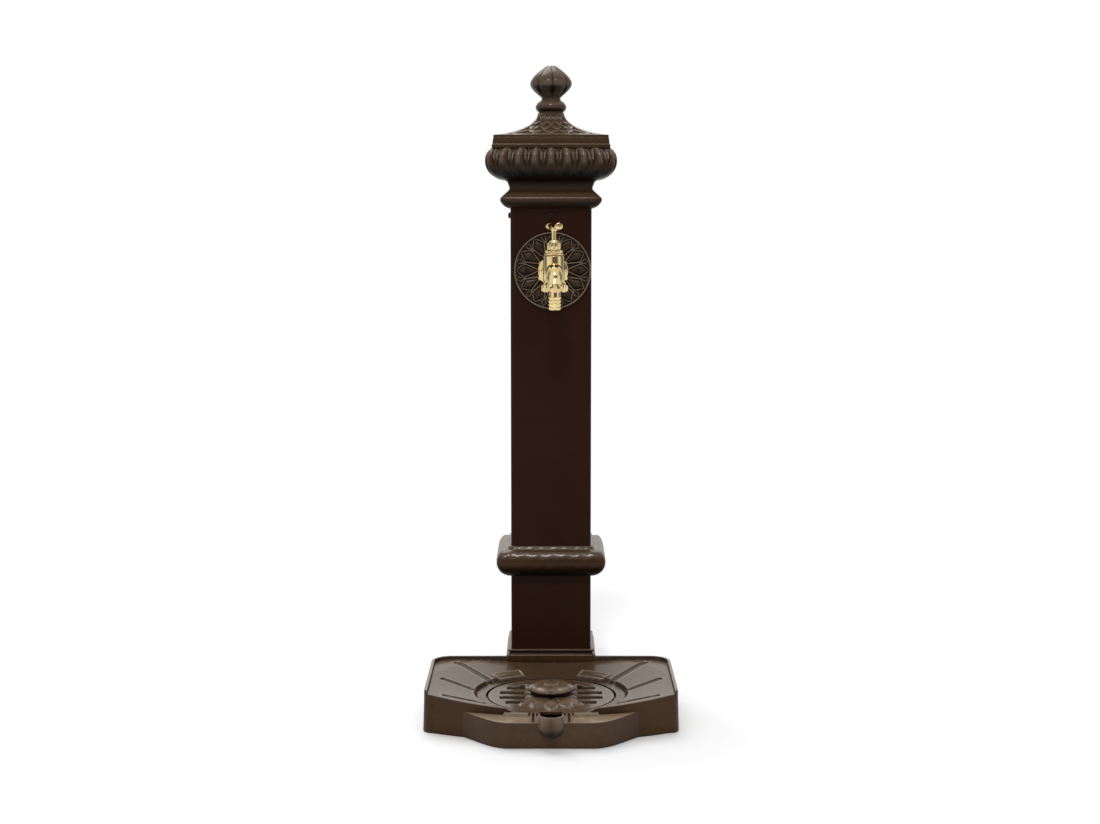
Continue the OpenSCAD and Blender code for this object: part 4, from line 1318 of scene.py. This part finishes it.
@dataclass
class Capital:
    """Capital with a lobed bowl and a slab, the scaled roof on it and the lobed finial."""

    low: float
    high: float
    neck: float
    bowl: float
    slab: float
    roof_top: float
    tip: float
    inside: float = 56.0
    roll: float = 75.3
    lobes: int = 8
    lobe_d: float = 4.6
    roof_w: float = 19.8
    bead_r: float = 23.2
    bulb_r: float = 31.8
    bulb_neck: float = 13.9
    bulb_tip: float = 7.8
    bulb_lobes: int = 8
    bulb_turn: float = 28.0

    def bowl_rows(self) -> Array:
        """Section of the capital: half width, height, squareness and lobe weight of each row."""
        z, n, w = self.low, self.neck, self.roll
        roll = rounded(
            (self.inside, z, 0.0),
            (n + 0.6, z, 0.6),
            (w - 7.0, z + 2.6, 4.0),
            (w, z + 10.5, 5.0),
            (w - 0.4, z + 16.0, 2.4),
            (n + 2.6, z + 27.0, 1.5),
            (n + 1.1, z + 30.0, 3.0),
            (n + 4.4, z + 38.8, 4.0),
            n=6,
        )
        middle = np.array([n + 10.0, z + 69.0])
        under = middle + arc(0.0, 0.0, 1.0, -90.0, 0.0, 26) * (self.bowl - middle[0], 26.0)
        t = np.linspace(0.06, 1.0, 18)
        over = np.stack([self.bowl - 9.2 * t**2.6, middle[1] + 19.6 * t], axis=1)
        s = self.slab
        slab = rounded(
            (s + 2.4, z + 88.7, 0.0),
            (s + 2.6, z + 93.2, 0.7),
            (s + 1.5, z + 94.0, 0.6),
            (s + 1.3, z + 95.4, 0.6),
            (s + 0.2, self.high, 0.8),
            (s - 14.0, self.high, 1.0),
            (s - 14.0, z + 92.0, 1.0),
            (self.bowl - 26.0, z + 70.0, 0.0),
            (self.inside, z + 48.0, 0.0),
            n=4,
        )
        lobed = path_points(under, over)
        rows = path_points(roll, lobed, slab)
        counts = [len(roll), len(lobed), len(slab)]
        square = np.repeat([24.0, 12.0, 60.0], counts)
        weight = ease((rows[:, 1] - z - 45.0) / 26.0) * np.repeat([0.0, 1.0, 0.0], counts)
        return np.column_stack([rows, square, weight])

    def capital(self) -> Skin:
        """Capital: the section carried round the square, its bowl set with round-headed lobes.

        Across a lobe stand a pillow (the root of 1 less the square of the place), a groove and a
        raised outline, and a thin dart stands between two lobes. The head closes like a half
        circle at the slab.
        """
        w, z, m, weight = np.hsplit(self.bowl_rows(), 4)
        s = np.linspace(-1.0, 1.0, 28 * self.lobes, endpoint=False)
        across = np.mod(s * self.lobes / 2 + 0.5, 1.0) * 2.0 - 1.0
        head = unit((z - self.low - 77.5) / 11.5)
        wide = np.sqrt(np.maximum(1.0 - head**2, 0.02))
        place = np.abs(across) / wide
        pillow = np.sqrt(np.maximum(0.0, 1.0 - (place / 0.62) ** 2))
        outline = 0.8 * hump(place - 0.78, 0.11) * ease((z - self.low - 64.0) / 12.0)
        dart = 0.5 * hump(np.abs(across) - 1.0, 0.1)
        swell = most(pillow, outline, dart)
        w = w - self.lobe_d * weight * (1.0 - swell)
        # Painted shade between the lobes, on the pillows, in the cove under the bowl and on the
        # bowl's lower half; rubbed paint with painted highlights on the outlines, darts and pillow
        # tops.
        cove = ease((z - self.low - 20.0) / 8.0) * ease((self.low + 52.0 - z) / 10.0)
        shade = 0.25 * ease((self.low + 66.0 - z) / 14.0) * ease((z - self.low - 38.0) / 6.0)
        hollow = weight * most((1.0 - swell) * 0.9, 0.3 * pillow)
        hollow = most(hollow, 0.15 * cove, shade)
        crest = most(outline / 0.8, 0.4 * dart, 0.3 * pillow**10)
        ridge = weight * crest**0.8 * ease((z - self.low - 62.0) / 10.0)
        return square_turning(w, z, m, s, hollow=hollow, ridge=ridge)

    def roof(self) -> Skin:
        """Roof: a concave quarter ellipse carried round the square, with rows of rounded scales.

        Each scale lifts from its upper end to its round lower edge. Every other row is shifted by
        half a scale, and the hips between the sides stay plain.
        """
        z0, rw, tw, e = self.high, self.slab, self.roof_w, 3.0
        t = np.linspace(0.0, 1.0, 110)[:, None]
        a = t * math.pi / 2
        w = rw - (rw - tw) * np.sin(a) ** 1.4
        z = z0 + e + (self.roof_top - z0 - e) * (1.0 - np.cos(a))
        m = 46.0 - 42.0 * t**1.5
        s = np.linspace(-1.0, 1.0, 132, endpoint=False)
        down = (1.0 - t) * 6.0
        k = np.floor(down)
        along = np.mod(s / 0.44 + 0.5 * np.mod(k, 2.0), 1.0) * 2.0 - 1.0
        edge = 1.0 - 0.6 * np.abs(along) ** 1.6
        in_row = down - k
        scale = np.where(in_row < edge, 0.35 + 0.65 * in_row / edge, 0.0)
        inset = ease((0.9 - np.abs(s)) / 0.05) * ease((t - 0.16) / 0.05) * ease((0.95 - t) / 0.04)
        vein = 0.4 * hump(along, 0.1) * (scale > 0)
        lift = 2.2 * (scale - vein - 1.0) * inset
        # Painted shade between the scales; a faint painted light over the whole roof, and rubbed
        # paint with painted highlights on the scales' lower edges.
        hollow = inset * unit(1.0 - scale + vein) * 0.6
        ridge = 0.1 + inset * (scale > 0) * ease((in_row / edge - 0.72) / 0.2) * 0.8
        w = w + lift * (np.cos(a) * 0.25 + 0.3)
        z = z + lift * 0.8
        foot = rounded((rw - 16.0, z0, 0.0), (rw, z0, 0.5), (rw, z0 + e - 0.2, 0.0))
        high = self.roof_top
        top = [(5.0, high), (5.0, high - 8.0), (15.0, high - 9.0), (31.0, high - 26.0)]
        top.append((rw - 16.0, z0))
        top_m = np.array([2.0, 2.0, 2.0, 8.0, 40.0])[:, None]
        ends = [np.repeat(np.array(rows)[:, :, None], len(s), axis=2) for rows in (foot, top)]
        w, z = (path_points(ends[0][:, k], mid, ends[1][:, k]) for k, mid in enumerate((w, z)))
        m = np.concatenate([np.full((len(foot), 1), 60.0), m, top_m])
        rest = ((len(foot), len(top)), (0, 0))
        hollow, ridge = np.pad(hollow, rest), np.pad(ridge, rest)
        return square_turning(w, z, m, s, hollow=hollow, ridge=ridge)

    def finial(self) -> Skin:
        """Finial: a turned bead and neck under a bulb whose radius falls between eight lobes."""
        z0, n = self.roof_top, self.bulb_neck
        foot = rounded(
            (9.0, z0, 0.0),
            (19.0, z0, 0.5),
            (18.6, z0 + 2.6, 1.5),
            (21.0, z0 + 4.0, 1.5),
            (self.bead_r + 0.6, z0 + 9.3, 4.0),
            (20.0, z0 + 16.5, 4.0),
            (n + 0.6, z0 + 19.5, 2.5),
            (n, z0 + 23.0, 0.0),
            n=7,
        )
        t = np.linspace(0.04, 1.0, 26)
        wide, tip, middle = self.bulb_r, self.bulb_tip, z0 + 44.7
        under_r = n + (wide - n) * np.sin(t * math.pi / 2) ** 1.05
        under = np.stack([under_r, z0 + 23.0 + 21.7 * t], axis=1)
        over_z = middle + (self.tip - middle - 0.6) * t
        over = np.stack([wide - (wide - tip) * t**1.6, over_z], axis=1)
        rows = path_points(foot, under, over, [[tip - 1.2, self.tip], [2.0, self.tip]])

        def marks(low: float, below: Array | float, above: Array | float) -> Array:
            """Values by row: the foot's, those below and above the bulb's middle, 0 at the tip."""
            bulb = [np.broadcast_to(part, t.shape) for part in (below, above)]
            return np.concatenate([np.full(len(foot), low), *bulb, [0.0, 0.0]])[:, None]

        a, near = angles(320), ease(t / 0.3)
        lobe = np.abs(np.cos((a - math.radians(self.bulb_turn)) * self.bulb_lobes / 2)) ** 0.4
        gap = marks(0.0, ease(t / 0.5), 1.0 - 0.75 * t) * (1.0 - lobe)
        r, z = np.hsplit(rows, 2)
        p = polar(r - 3.6 * gap, a, z)
        # Painted shade between the lobes and on the bulb's upper part; the bulb's lower part is
        # lightened as painted reflected light, with rubbed paint on the foot and just above the
        # bulb's middle.
        hollow = np.maximum(gap * 0.8, marks(0.0, 0.0, 0.22 * near))
        return Skin.grid(p, hollow, marks(0.12, 0.8 - 0.5 * t, 0.3 - 0.3 * near), closed=True)

    def pieces(self) -> list[Piece]:
        """The pieces of the capital."""
        return [
            Piece("capital_lobes", self.capital(), Finish.CAST, ("capital",), crease=60.0),
            Piece("roof_scales", self.roof(), Finish.CAST, ("cap_roof",), crease=50.0),
            Piece("finial_bulb", self.finial(), Finish.CAST, ("finial",), crease=60.0),
        ]


@dataclass
class Rosette:
    """Cast rosette behind the tap: twelve cupped petals, tips between them and a thin rim."""

    half: float
    z: float
    around: int = 816
    x: float = 2.3
    r: float = 57.5
    thick: float = 5.0
    petals: int = 12
    petal_in: float = 21.0
    petal_out: float = 53.0
    bore: float = 11.9

    def petal(
        self, r: Array, a: Array, root: float, tip: float, wide: float
    ) -> tuple[Array, Array]:
        """How far outside a petal a point lies: off its middle line, less the half width.

        The half width is that of a kite: it grows evenly over 0.66 of the way from root to tip,
        then closes.

        Args:
            r: Radius of each point.
            a: Angle of each point.
            root: Radius of the petal's root.
            tip: Radius of its tip.
            wide: Largest half width.

        Returns:
            The distance in millimetres, negative inside, and the height of a pillow, 0 to 1.
        """
        step = TAU / self.petals
        local = np.abs(np.mod(a + step / 2, step) - step / 2)
        t = unit((r - root) / (tip - root))
        half = wide * np.minimum(0.1 + 0.9 * t / 0.66, ((1.0 - t) / 0.34) ** 0.75)
        beyond = most(root - r, r - tip, 0.0)
        across = local * r / np.maximum(half, 0.01)
        pillow = np.sqrt(unit(1.0 - across**2)) * (half / wide) ** 0.6
        return local * r - half + beyond, pillow * (beyond == 0.0)

    def skin(self) -> Skin:
        """Relief over rings: ground, petal outlines, a pillow in each petal, tips and the rim."""
        a = angles(self.around, 0.5)
        field_r = np.linspace(self.bore, self.r - 3.4, 104)
        r = path_points(field_r, np.linspace(self.r - 3.2, self.r - 0.3, 12))[:, None]
        leaf, _ = self.petal(r, a, self.petal_in, self.petal_out, 9.8)
        _, pillow = self.petal(r, a, self.petal_in + 4.0, self.petal_out - 3.0, 7.0)
        between, _ = self.petal(r, a + TAU / self.petals / 2, 43.0, self.petal_out + 1.0, 3.4)
        outline = hump(leaf, 1.0)
        tips = hump(between, 0.9) * ease(leaf / 1.5)
        h = 1.1 + 0.5 * ease(0.5 - leaf) + 3.1 * pillow
        h = h + 2.9 * outline * (1.0 - pillow) + 2.3 * tips
        rim = ease((r - (self.r - 3.3)) / 0.9) * ease((self.r - 0.2 - r) / 0.6)
        h = h * (1.0 - rim) + (self.thick - 0.2) * rim
        boss = ease((21.0 - r) / 2.0)
        h = np.clip(h * (1.0 - boss) + self.thick * boss, 0.4, self.thick + 0.4)
        # Painted shade on the low ground and in the pillows; the outlines, tips and rim are
        # lightened as rubbed paint with painted highlights.
        hollow = unit(1.0 - (h - 1.2) / 2.2) * 0.75 * (1.0 - rim)
        hollow = np.maximum(hollow, 0.45 * ease(pillow / 0.4))
        lines = np.maximum(outline, 0.8 * tips) ** 1.3
        ridge = unit(0.06 + lines * (1.0 - boss) + 0.4 * rim)
        r = path_points([[self.bore]], r, [[self.r], [self.r], [self.bore]])
        back = ((1, 3), (0, 0))
        h = np.pad(h, back, constant_values=0.1)
        h[-3] = 1.6
        skin = Skin.grid(polar(r, a, h), np.pad(hollow, back), np.pad(ridge, back), along=True)
        return skin.turned(OUT_OF_WALL).moved((self.x, -self.half, self.z))

    def pieces(self) -> list[Piece]:
        """The rosette."""
        return [Piece("rosette_petals", self.skin(), Finish.CAST, ("rosette",), crease=70.0)]


@dataclass
class Tap:
    """Brass screw-down tap and its hose union. Heights are from the inlet axis."""

    half: float
    z: float
    swing: float = 2.2
    valve: float = 45.0
    outlet: float = 78.0
    bend: float = 15.0
    tube_r: float = 11.5
    tube_z: float = 1.5
    barrel_r: float = 15.5
    chamber: float = 6.5
    barrel_top: float = 22.6
    shoulder: float = -17.2
    outlet_r: float = 13.2
    bell_r: float = 16.4
    body_af: float = 43.5
    hex_back: float = 9.0
    hex_front: float = 20.0
    tee_z: float = 66.0
    tee_turn: float = 18.0
    tee_l: float = 44.0
    knob_r: float = 6.1
    nut_af: float = 33.0
    nut_top: float = -17.5
    nut_low: float = -28.3
    tail_end: float = -54.3
    tail_core: float = 8.3
    barb_r: float = 9.5
    barbs: int = 4
    barb_step: float = 5.0
    spout_bore: float = 6.2
    thread_end: float = -21.0
    bonnet_z: float = 24.1
    bonnet_r: float = 14.5
    bonnet_top: float = 26.5

    def placed(self, out: float, *skins: Skin) -> Skin:
        """Joins surfaces and moves them to the tap's axis, a distance out of the wall."""
        joined = Skin.together(*skins).moved((0.0, -self.half - out, self.z))
        return joined.turned(spin(self.swing))

    def elbow(self) -> Skin:
        """Spout: a circle carried along a path that runs out and bends down to the shoulder."""
        b, zt = self.bend, self.tube_z
        a = np.linspace(0.0, math.pi / 2, 24)
        start = -self.valve - self.chamber - np.array([8.0, 4.0, 0.5])
        y = np.concatenate([start, -(self.outlet - b) - b * np.sin(a), [-self.outlet]])
        z = np.concatenate([[zt] * 3, zt - b + b * np.cos(a), [self.shoulder]])
        lean = np.concatenate([[0.0] * 3, a, [math.pi / 2]])
        t = angles(72)
        r = np.full((len(y), 1), self.tube_r)
        r[:2, 0] = 0.6, self.tube_r - 1.2
        px = r * np.cos(t)
        up = r * np.sin(t)
        py = y[:, None] - up * np.sin(lean)[:, None]
        pz = z[:, None] + up * np.cos(lean)[:, None]
        return Skin.grid(np.stack([px, py, pz], axis=-1), closed=True)

    def body(self) -> Skin:
        """Tap body: barrel, hexagon and neck, spout and outlet thread."""
        r, top = self.barrel_r, self.barrel_top
        barrel = path_points(
            arc(0.0, -10.0, r, -88.0, 0.0, 22),
            rounded((r, -8.0, 0.0), (r, top, 0.8), (10.0, top, 0.0)),
        )
        front, end = self.hex_front, self.valve - self.chamber
        neck = rounded(
            (9.0, 8.0, 0.0),
            (16.0, front - 1.0, 0.0),
            (16.0, front + 4.0, 1.5),
            (13.5, front + 5.5, 1.5),
            (13.5, end, 0.0),
            (12.0, end - 1.5, 0.0),
            (11.5, end - 8.0, 0.0),
            (0.6, end - 10.0, 0.0),
        )
        bell = rounded(
            (9.0, self.shoulder, 0.0),
            (self.bell_r, self.shoulder, 0.5),
            (self.bell_r - 0.6, self.shoulder + 2.4, 1.2),
            (self.tube_r + 0.8, self.shoulder + 8.0, 5.0),
            (self.tube_r, self.shoulder + 13.0, 0.0),
            n=9,
        )
        r, top = self.outlet_r, self.shoulder + 0.4
        bore, low = self.spout_bore, self.thread_end
        thread = rounded((bore, low, 0.0), (r, low, 0.6), (r, top, 0.0), (bore, top, 0.0))
        hexed = hexagon(self.body_af, self.hex_back, front, 3.0, turned=1.115).turned(spin(30.0))
        end = self.hex_back + 1.0
        shank = turning(np.array([[7.0, -31.0], [10.45, -31.0], [10.45, end], [7.0, end]]), 64)
        lying = [skin.turned(OUT_OF_WALL) for skin in (turning(neck), hexed, shank)]
        return Skin.together(
            self.placed(self.valve, turning(barrel)),
            self.placed(0.0, *lying, self.elbow()),
            self.placed(self.outlet, turning(bell), turning(thread, ring=True)),
        )

    def bonnet(self) -> Skin:
        """Bonnet: threaded end, flange, hexagon and neck."""
        r, low, top = self.bonnet_r, self.bonnet_z, self.bonnet_top
        threaded = [(6.0, 10.1, 0.0), (9.4, 10.1, 0.5), (9.4, low, 0.0)]
        flange = rounded(*threaded, (r, low, 0.4), (r, top, 0.8), (8.0, top, 0.0))
        neck = np.array([[3.8, 30.0], [7.5, 30.0], [7.5, 40.0], [3.8, 40.0]])
        sides = hexagon(22.0, 26.3, 31.4, 1.0)
        return self.placed(self.valve, turning(flange), sides, turning(neck, ring=True))

    def washer(self) -> Skin:
        """Fibre washer under the bonnet."""
        low, high = self.barrel_top, self.bonnet_z
        ring = rounded((9.6, low, 0.0), (14.9, low, 0.3), (14.9, high, 0.3), (9.6, high, 0.0), n=3)
        return self.placed(self.valve, turning(ring, ring=True))

    def gland(self) -> Skin:
        """Gland nut: a hexagon with a turned cone on it."""
        cone = rounded((3.76, 41.8, 0.0), (8.4, 41.9, 0.5), (6.6, 45.9, 0.9), (3.76, 45.9, 0.0))
        sides = hexagon(17.0, 31.45, 42.1, 1.0, 3.8)
        return self.placed(self.valve, sides, turning(cone, ring=True))

    def spindle(self) -> Skin:
        """Spindle stem."""
        threaded = [(2.0, 1.1, 0.0), (5.9, 1.1, 0.5), (5.9, 16.9, 0.5)]
        plain = [(3.65, 17.4, 0.3), (3.65, self.tee_z, 0.0), (1.0, self.tee_z, 0.0)]
        return self.placed(self.valve, turning(rounded(*threaded, *plain), 64))

    def tee(self) -> Skin:
        """Tee bar: a thin bar between two barrel knobs, with a hub on the spindle."""
        half, k = self.tee_l / 2, self.knob_r
        swell = arc(0.0, 0.0, 1.0, -46.0, 46.0, 17)
        knob = np.column_stack([k * swell[:, 0], 5.5 * swell[:, 1] / swell[-1, 1]])
        knob = path_points([[1.0, -5.6]], [[k * 0.55, -5.6]], knob, [[k * 0.55, 5.6]], [[1.0, 5.6]])
        bar = rounded(
            (1.0, -half, 0.0),
            (4.1, -half, 0.0),
            (3.7, -half / 2, 3.0),
            (4.3, 0.0, 3.0),
            (3.7, half / 2, 3.0),
            (4.1, half, 0.0),
            (1.0, half, 0.0),
        )
        hub = rounded((3.7, -7.0, 0.0), (4.7, -7.0, 0.6), (4.4, 2.0, 1.6), (1.0, 3.8, 0.0))
        along = [bar, knob - np.array([0.0, half]), knob + np.array([0.0, half])]
        skins = [turning(hub, 64)] + [turning(rows, 64).turned(OUT_OF_WALL) for rows in along]
        turn, lift = spin(self.tee_turn - self.swing), (0.0, 0.0, self.tee_z)
        return self.placed(self.valve, *(s.turned(turn).moved(lift) for s in skins))

    def nut(self) -> Skin:
        """Union nut: a hexagon with a bore and a floor that holds the hose tail."""
        bore = self.outlet_r + 1.35
        sides = hexagon(self.nut_af, self.nut_low, self.nut_top, 1.5, bore)
        inn, out = self.tail_core + 0.3, self.outlet_r + 1.5
        low, high = self.nut_low + 0.02, self.nut_low + 3.0
        floor = turning(np.array([[inn, low], [out, low], [out, high], [inn, high]]), ring=True)
        return self.placed(self.outlet, sides, floor)

    def tail(self) -> Skin:
        """Hose tail: a turned sleeve with four saw-tooth ridges."""
        c, b, bore = self.tail_core, self.barb_r, self.spout_bore
        rows: list[Corner] = [(bore, self.tail_end, 0.0), (c - 0.4, self.tail_end, 0.5)]
        tooth = ((c, 0.5, 0.3), (b, 3.1, 0.35), (b, 3.6, 0.3), (c, 4.4, 0.3))
        for i in range(self.barbs):
            low = self.tail_end + self.barb_step * i
            rows += [(r, low + z, corner) for r, z, corner in tooth]
        rows += [(c, -25.3, 0.0), (12.8, -25.2, 0.0), (12.8, -23.0, 0.0), (bore, -23.0, 0.0)]
        return self.placed(self.outlet, turning(rounded(*rows, n=4), ring=True))

    def pieces(self) -> list[Piece]:
        """The pieces of the tap."""
        b = Finish.BRASS
        return [
            Piece("tap_casting", self.body(), b, ("tap_body",)),
            Piece("bonnet_turned", self.bonnet(), b, ("bonnet",)),
            Piece("bonnet_fibre", self.washer(), Finish.FIBRE, ("bonnet_washer",)),
            Piece("gland_turned", self.gland(), b, ("gland_nut",)),
            Piece("spindle_stem", self.spindle(), b, ("spindle",), Body.SPINDLE),
            Piece("tee_handle", self.tee(), b, ("tee_bar",), Body.SPINDLE),
            Piece("union_hexagon", self.nut(), b, ("union_nut",), Body.NUT),
            Piece("tail_ridges", self.tail(), b, ("hose_tail",), Body.TAIL),
        ]


# Stage


@dataclass
class Stage:
    """Camera, lamps, white floor and world. Places are in metres, turns in degrees."""

    camera_y: float = -2.805
    camera_z: float = 0.732
    camera_x: float = -0.0015
    pitch: float = 6.27
    lens: float = 60.55
    sensor: float = 36.0
    sky: float = 0.5
    dim: float = 0.8
    front: float = 0.88
    strip_to: tuple[float, float] = (0.97, 0.24)
    strip_edge: tuple[float, float] = (0.72, 0.94)
    key: float = 1.75
    key_spread: float = 45.0
    key_turn: tuple[float, float, float] = (-30.0, -8.0, 0.0)
    spark: float = 1.0
    spark_spread: float = 7.0
    spark_turn: tuple[float, float, float] = (38.0, -4.0, 0.0)
    floor_size: float = 40.0
    floor_drop: float = 0.0005
    floor_fade: tuple[float, float] = (0.45, 1.1)

    def camera(self, axis_y: float) -> None:
        """Camera in front of the column."""
        data = bpy.data.cameras.new("camera")
        data.lens, data.sensor_width, data.sensor_fit = self.lens, self.sensor, "HORIZONTAL"
        eye = bpy.data.objects.new("camera", data)
        eye.location = (self.camera_x, axis_y * MM + self.camera_y, self.camera_z)
        eye.rotation_euler = (math.radians(90.0 - self.pitch), 0.0, 0.0)
        bpy.context.scene.collection.objects.link(eye)
        bpy.context.scene.camera = eye

    def lamp(
        self, name: str, strength: float, spread: float, turn: tuple[float, float, float]
    ) -> None:
        """A soft sun.

        Args:
            name: Name of the lamp.
            strength: Strength.
            spread: Apparent width in degrees.
            turn: Rotation in degrees.
        """
        data = bpy.data.lights.new(name, "SUN")
        data.energy, data.angle = strength, math.radians(spread)
        lamp = bpy.data.objects.new(name, data)
        lamp.rotation_euler = tuple(math.radians(v) for v in turn)
        bpy.context.scene.collection.objects.link(lamp)

    def floor(self) -> None:
        """White floor that keeps the shadow near the standpipe and fades to plain white."""
        g = Graph.material("white_floor")
        tint = g.blend(g.noise(0.6, 1.0), (0.945, 0.945, 0.945), (0.955, 0.955, 0.955))
        plain = {"Base Color": tint, "Roughness": 1.0, "Specular IOR Level": 0.0}
        matt = g.node("ShaderNodeBsdfPrincipled", {}, plain)
        white = g.node("ShaderNodeEmission", {}, {"Color": (1.0, 1.0, 1.0), "Strength": 1.0})
        away = g.node("ShaderNodeVectorMath", {"operation": "LENGTH"}, {0: g.place})
        far = Value(g, away.outputs["Value"]).between(*self.floor_fade)
        mixed = g.node("ShaderNodeMixShader", {}, {0: far, 1: matt.outputs[0], 2: white.outputs[0]})
        g.node("ShaderNodeOutputMaterial", {}, {"Surface": mixed.outputs[0]})
        mesh = bpy.data.meshes.new("floor")
        s = self.floor_size
        mesh.from_pydata([(-s, -s, 0), (s, -s, 0), (s, s, 0), (-s, s, 0)], [], [(0, 1, 2, 3)])
        mesh.materials.append(g.owner)
        floor = bpy.data.objects.new("floor", mesh)
        floor.location.z = -self.floor_drop
        bpy.context.scene.collection.objects.link(floor)
        floor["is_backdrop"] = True

    def world(self) -> None:
        """World: white to the camera, a white studio in reflections, softer as light.

        It is dim to the left and right, and reflections have a dark strip in front.
        """
        world = bpy.data.worlds.new("studio")
        g = Graph(world)
        path = g.node("ShaderNodeLightPath", {}, {})
        rays = ("Glossy", "Camera", "Transmission")
        glossy, camera, through = (Value(g, path.outputs[f"Is {ray} Ray"]) for ray in rays)
        parts = g.node("ShaderNodeSeparateXYZ", {}, {0: g.direction()})
        across, back, rise = (Value(g, parts.outputs[k]) for k in range(3))
        near = 0.0 - back
        aside = (across * across).between(0.3, 0.85) * (1.0 - glossy * near.between(0.0, 0.3))
        strip = (near * self.strip_to[0] + across * self.strip_to[1]).between(*self.strip_edge)
        ahead = strip * (0.6 - rise).between(0.0, 0.35) * glossy
        studio = (glossy * (1.0 - self.sky) + self.sky) * (1.0 - aside * self.dim)
        studio = studio * (1.0 - ahead * self.front)
        strength = studio + (1.0 - studio) * (camera + through).between(0.0, 1.0)
        white = {"Color": (1.0, 1.0, 1.0), "Strength": strength}
        light = g.node("ShaderNodeBackground", {}, white)
        g.node("ShaderNodeOutputWorld", {}, {"Surface": light.outputs[0]})
        bpy.context.scene.world = world

    def build(self, axis_y: float) -> None:
        """Sets the stage."""
        self.camera(axis_y)
        self.lamp("key", self.key, self.key_spread, self.key_turn)
        self.lamp("spark", self.spark, self.spark_spread, self.spark_turn)
        self.floor()
        self.world()
        bpy.context.scene.view_settings.view_transform = "Standard"


@dataclass(frozen=True)
class Box:
    """Lowest and highest corner of a CAD piece in the column frame, in millimetres."""

    low: Array
    high: Array

    @property
    def middle(self) -> Array:
        """Middle of the box."""
        return (self.low + self.high) / 2

    @property
    def size(self) -> Array:
        """Width, depth and height of the box."""
        return self.high - self.low


@dataclass
class Standpipe:
    """The whole standpipe, dressed on the CAD frame."""

    frame: dict
    shop: Paintshop = field(default_factory=Paintshop)

    def axis_y(self) -> float:
        """Place of the column axis in the row frame, in millimetres."""
        low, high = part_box("column_tube")
        return (low[1] + high[1]) / 2 / MM

    def box(self, node: str) -> Box:
        """The box of a CAD piece, to a hundredth of a millimetre."""
        shift = np.array([0.0, self.axis_y(), 0.0])
        return Box(*(np.round(np.array(corner) / MM - shift, 2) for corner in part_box(node)))

    def parts(self) -> tuple[Base, Grate, Column, Capital, Rosette, Tap]:
        """The parts, with the main sizes of the CAD pieces."""
        base, foot, grate = map(self.box, ("base_casting", "column_foot", "drain_grate"))
        tube, plinth, collar = map(self.box, ("column_tube", "plinth_collar", "mid_collar"))
        capital, roof, finial = map(self.box, ("capital", "cap_roof", "finial"))
        half, tap_z, grate_y = tube.high[0], self.box("rosette").middle[2], grate.middle[1]
        return (
            Base(
                half_w=base.high[0],
                rim=base.high[2],
                back=base.high[1],
                grate_y=grate_y,
                foot=foot.high[0],
                foot_h=foot.high[2],
            ),
            Grate(y=grate_y, r=grate.high[0], low=grate.low[2]),
            Column(
                half=half,
                low=tube.low[2],
                top=tube.high[2],
                plinth=plinth.high[0],
                plinth_h=plinth.size[2],
                collar=collar.high[0],
                collar_z=collar.low[2],
                collar_h=collar.size[2],
            ),
            Capital(
                low=capital.low[2],
                high=capital.high[2],
                neck=half,
                bowl=capital.high[0],
                slab=roof.high[0],
                roof_top=roof.high[2],
                tip=finial.high[2],
            ),
            Rosette(half=half, z=tap_z),
            Tap(half=half, z=tap_z),
        )

    def dress(self) -> None:
        """Builds every new piece, and gives the CAD pieces that stay the finish of their slot."""
        axis = self.axis_y()
        slots = {row["node"]: row["material_slot"] for row in self.frame["record"]["subparts"]}
        for part in self.parts():
            for piece in part.pieces():
                made = piece.make(self.shop, axis)
                log.info("%s: %d faces on %s", made.name, len(made.data.polygons), piece.body.value)
                for name in piece.nodes:
                    del slots[name]
        for name, slot in slots.items():
            paint = self.frame["nodes"][name].data.materials
            paint.clear()
            paint.append(self.shop.get(Finish(slot)))
            log.info("%s: %s", name, slot)


def main() -> None:
    """Loads the frame, dresses it and sets the stage."""
    logging.basicConfig(level=logging.INFO, format="%(name)s %(message)s")
    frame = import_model()
    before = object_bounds()
    standpipe = Standpipe(frame)
    standpipe.dress()
    Stage().build(standpipe.axis_y())
    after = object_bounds()
    boxes = {"cad": before, "dressed": after}
    sizes = {name: [list(map(float, c)) for c in box] for name, box in boxes.items()}


if __name__ == "__main__":
    main()
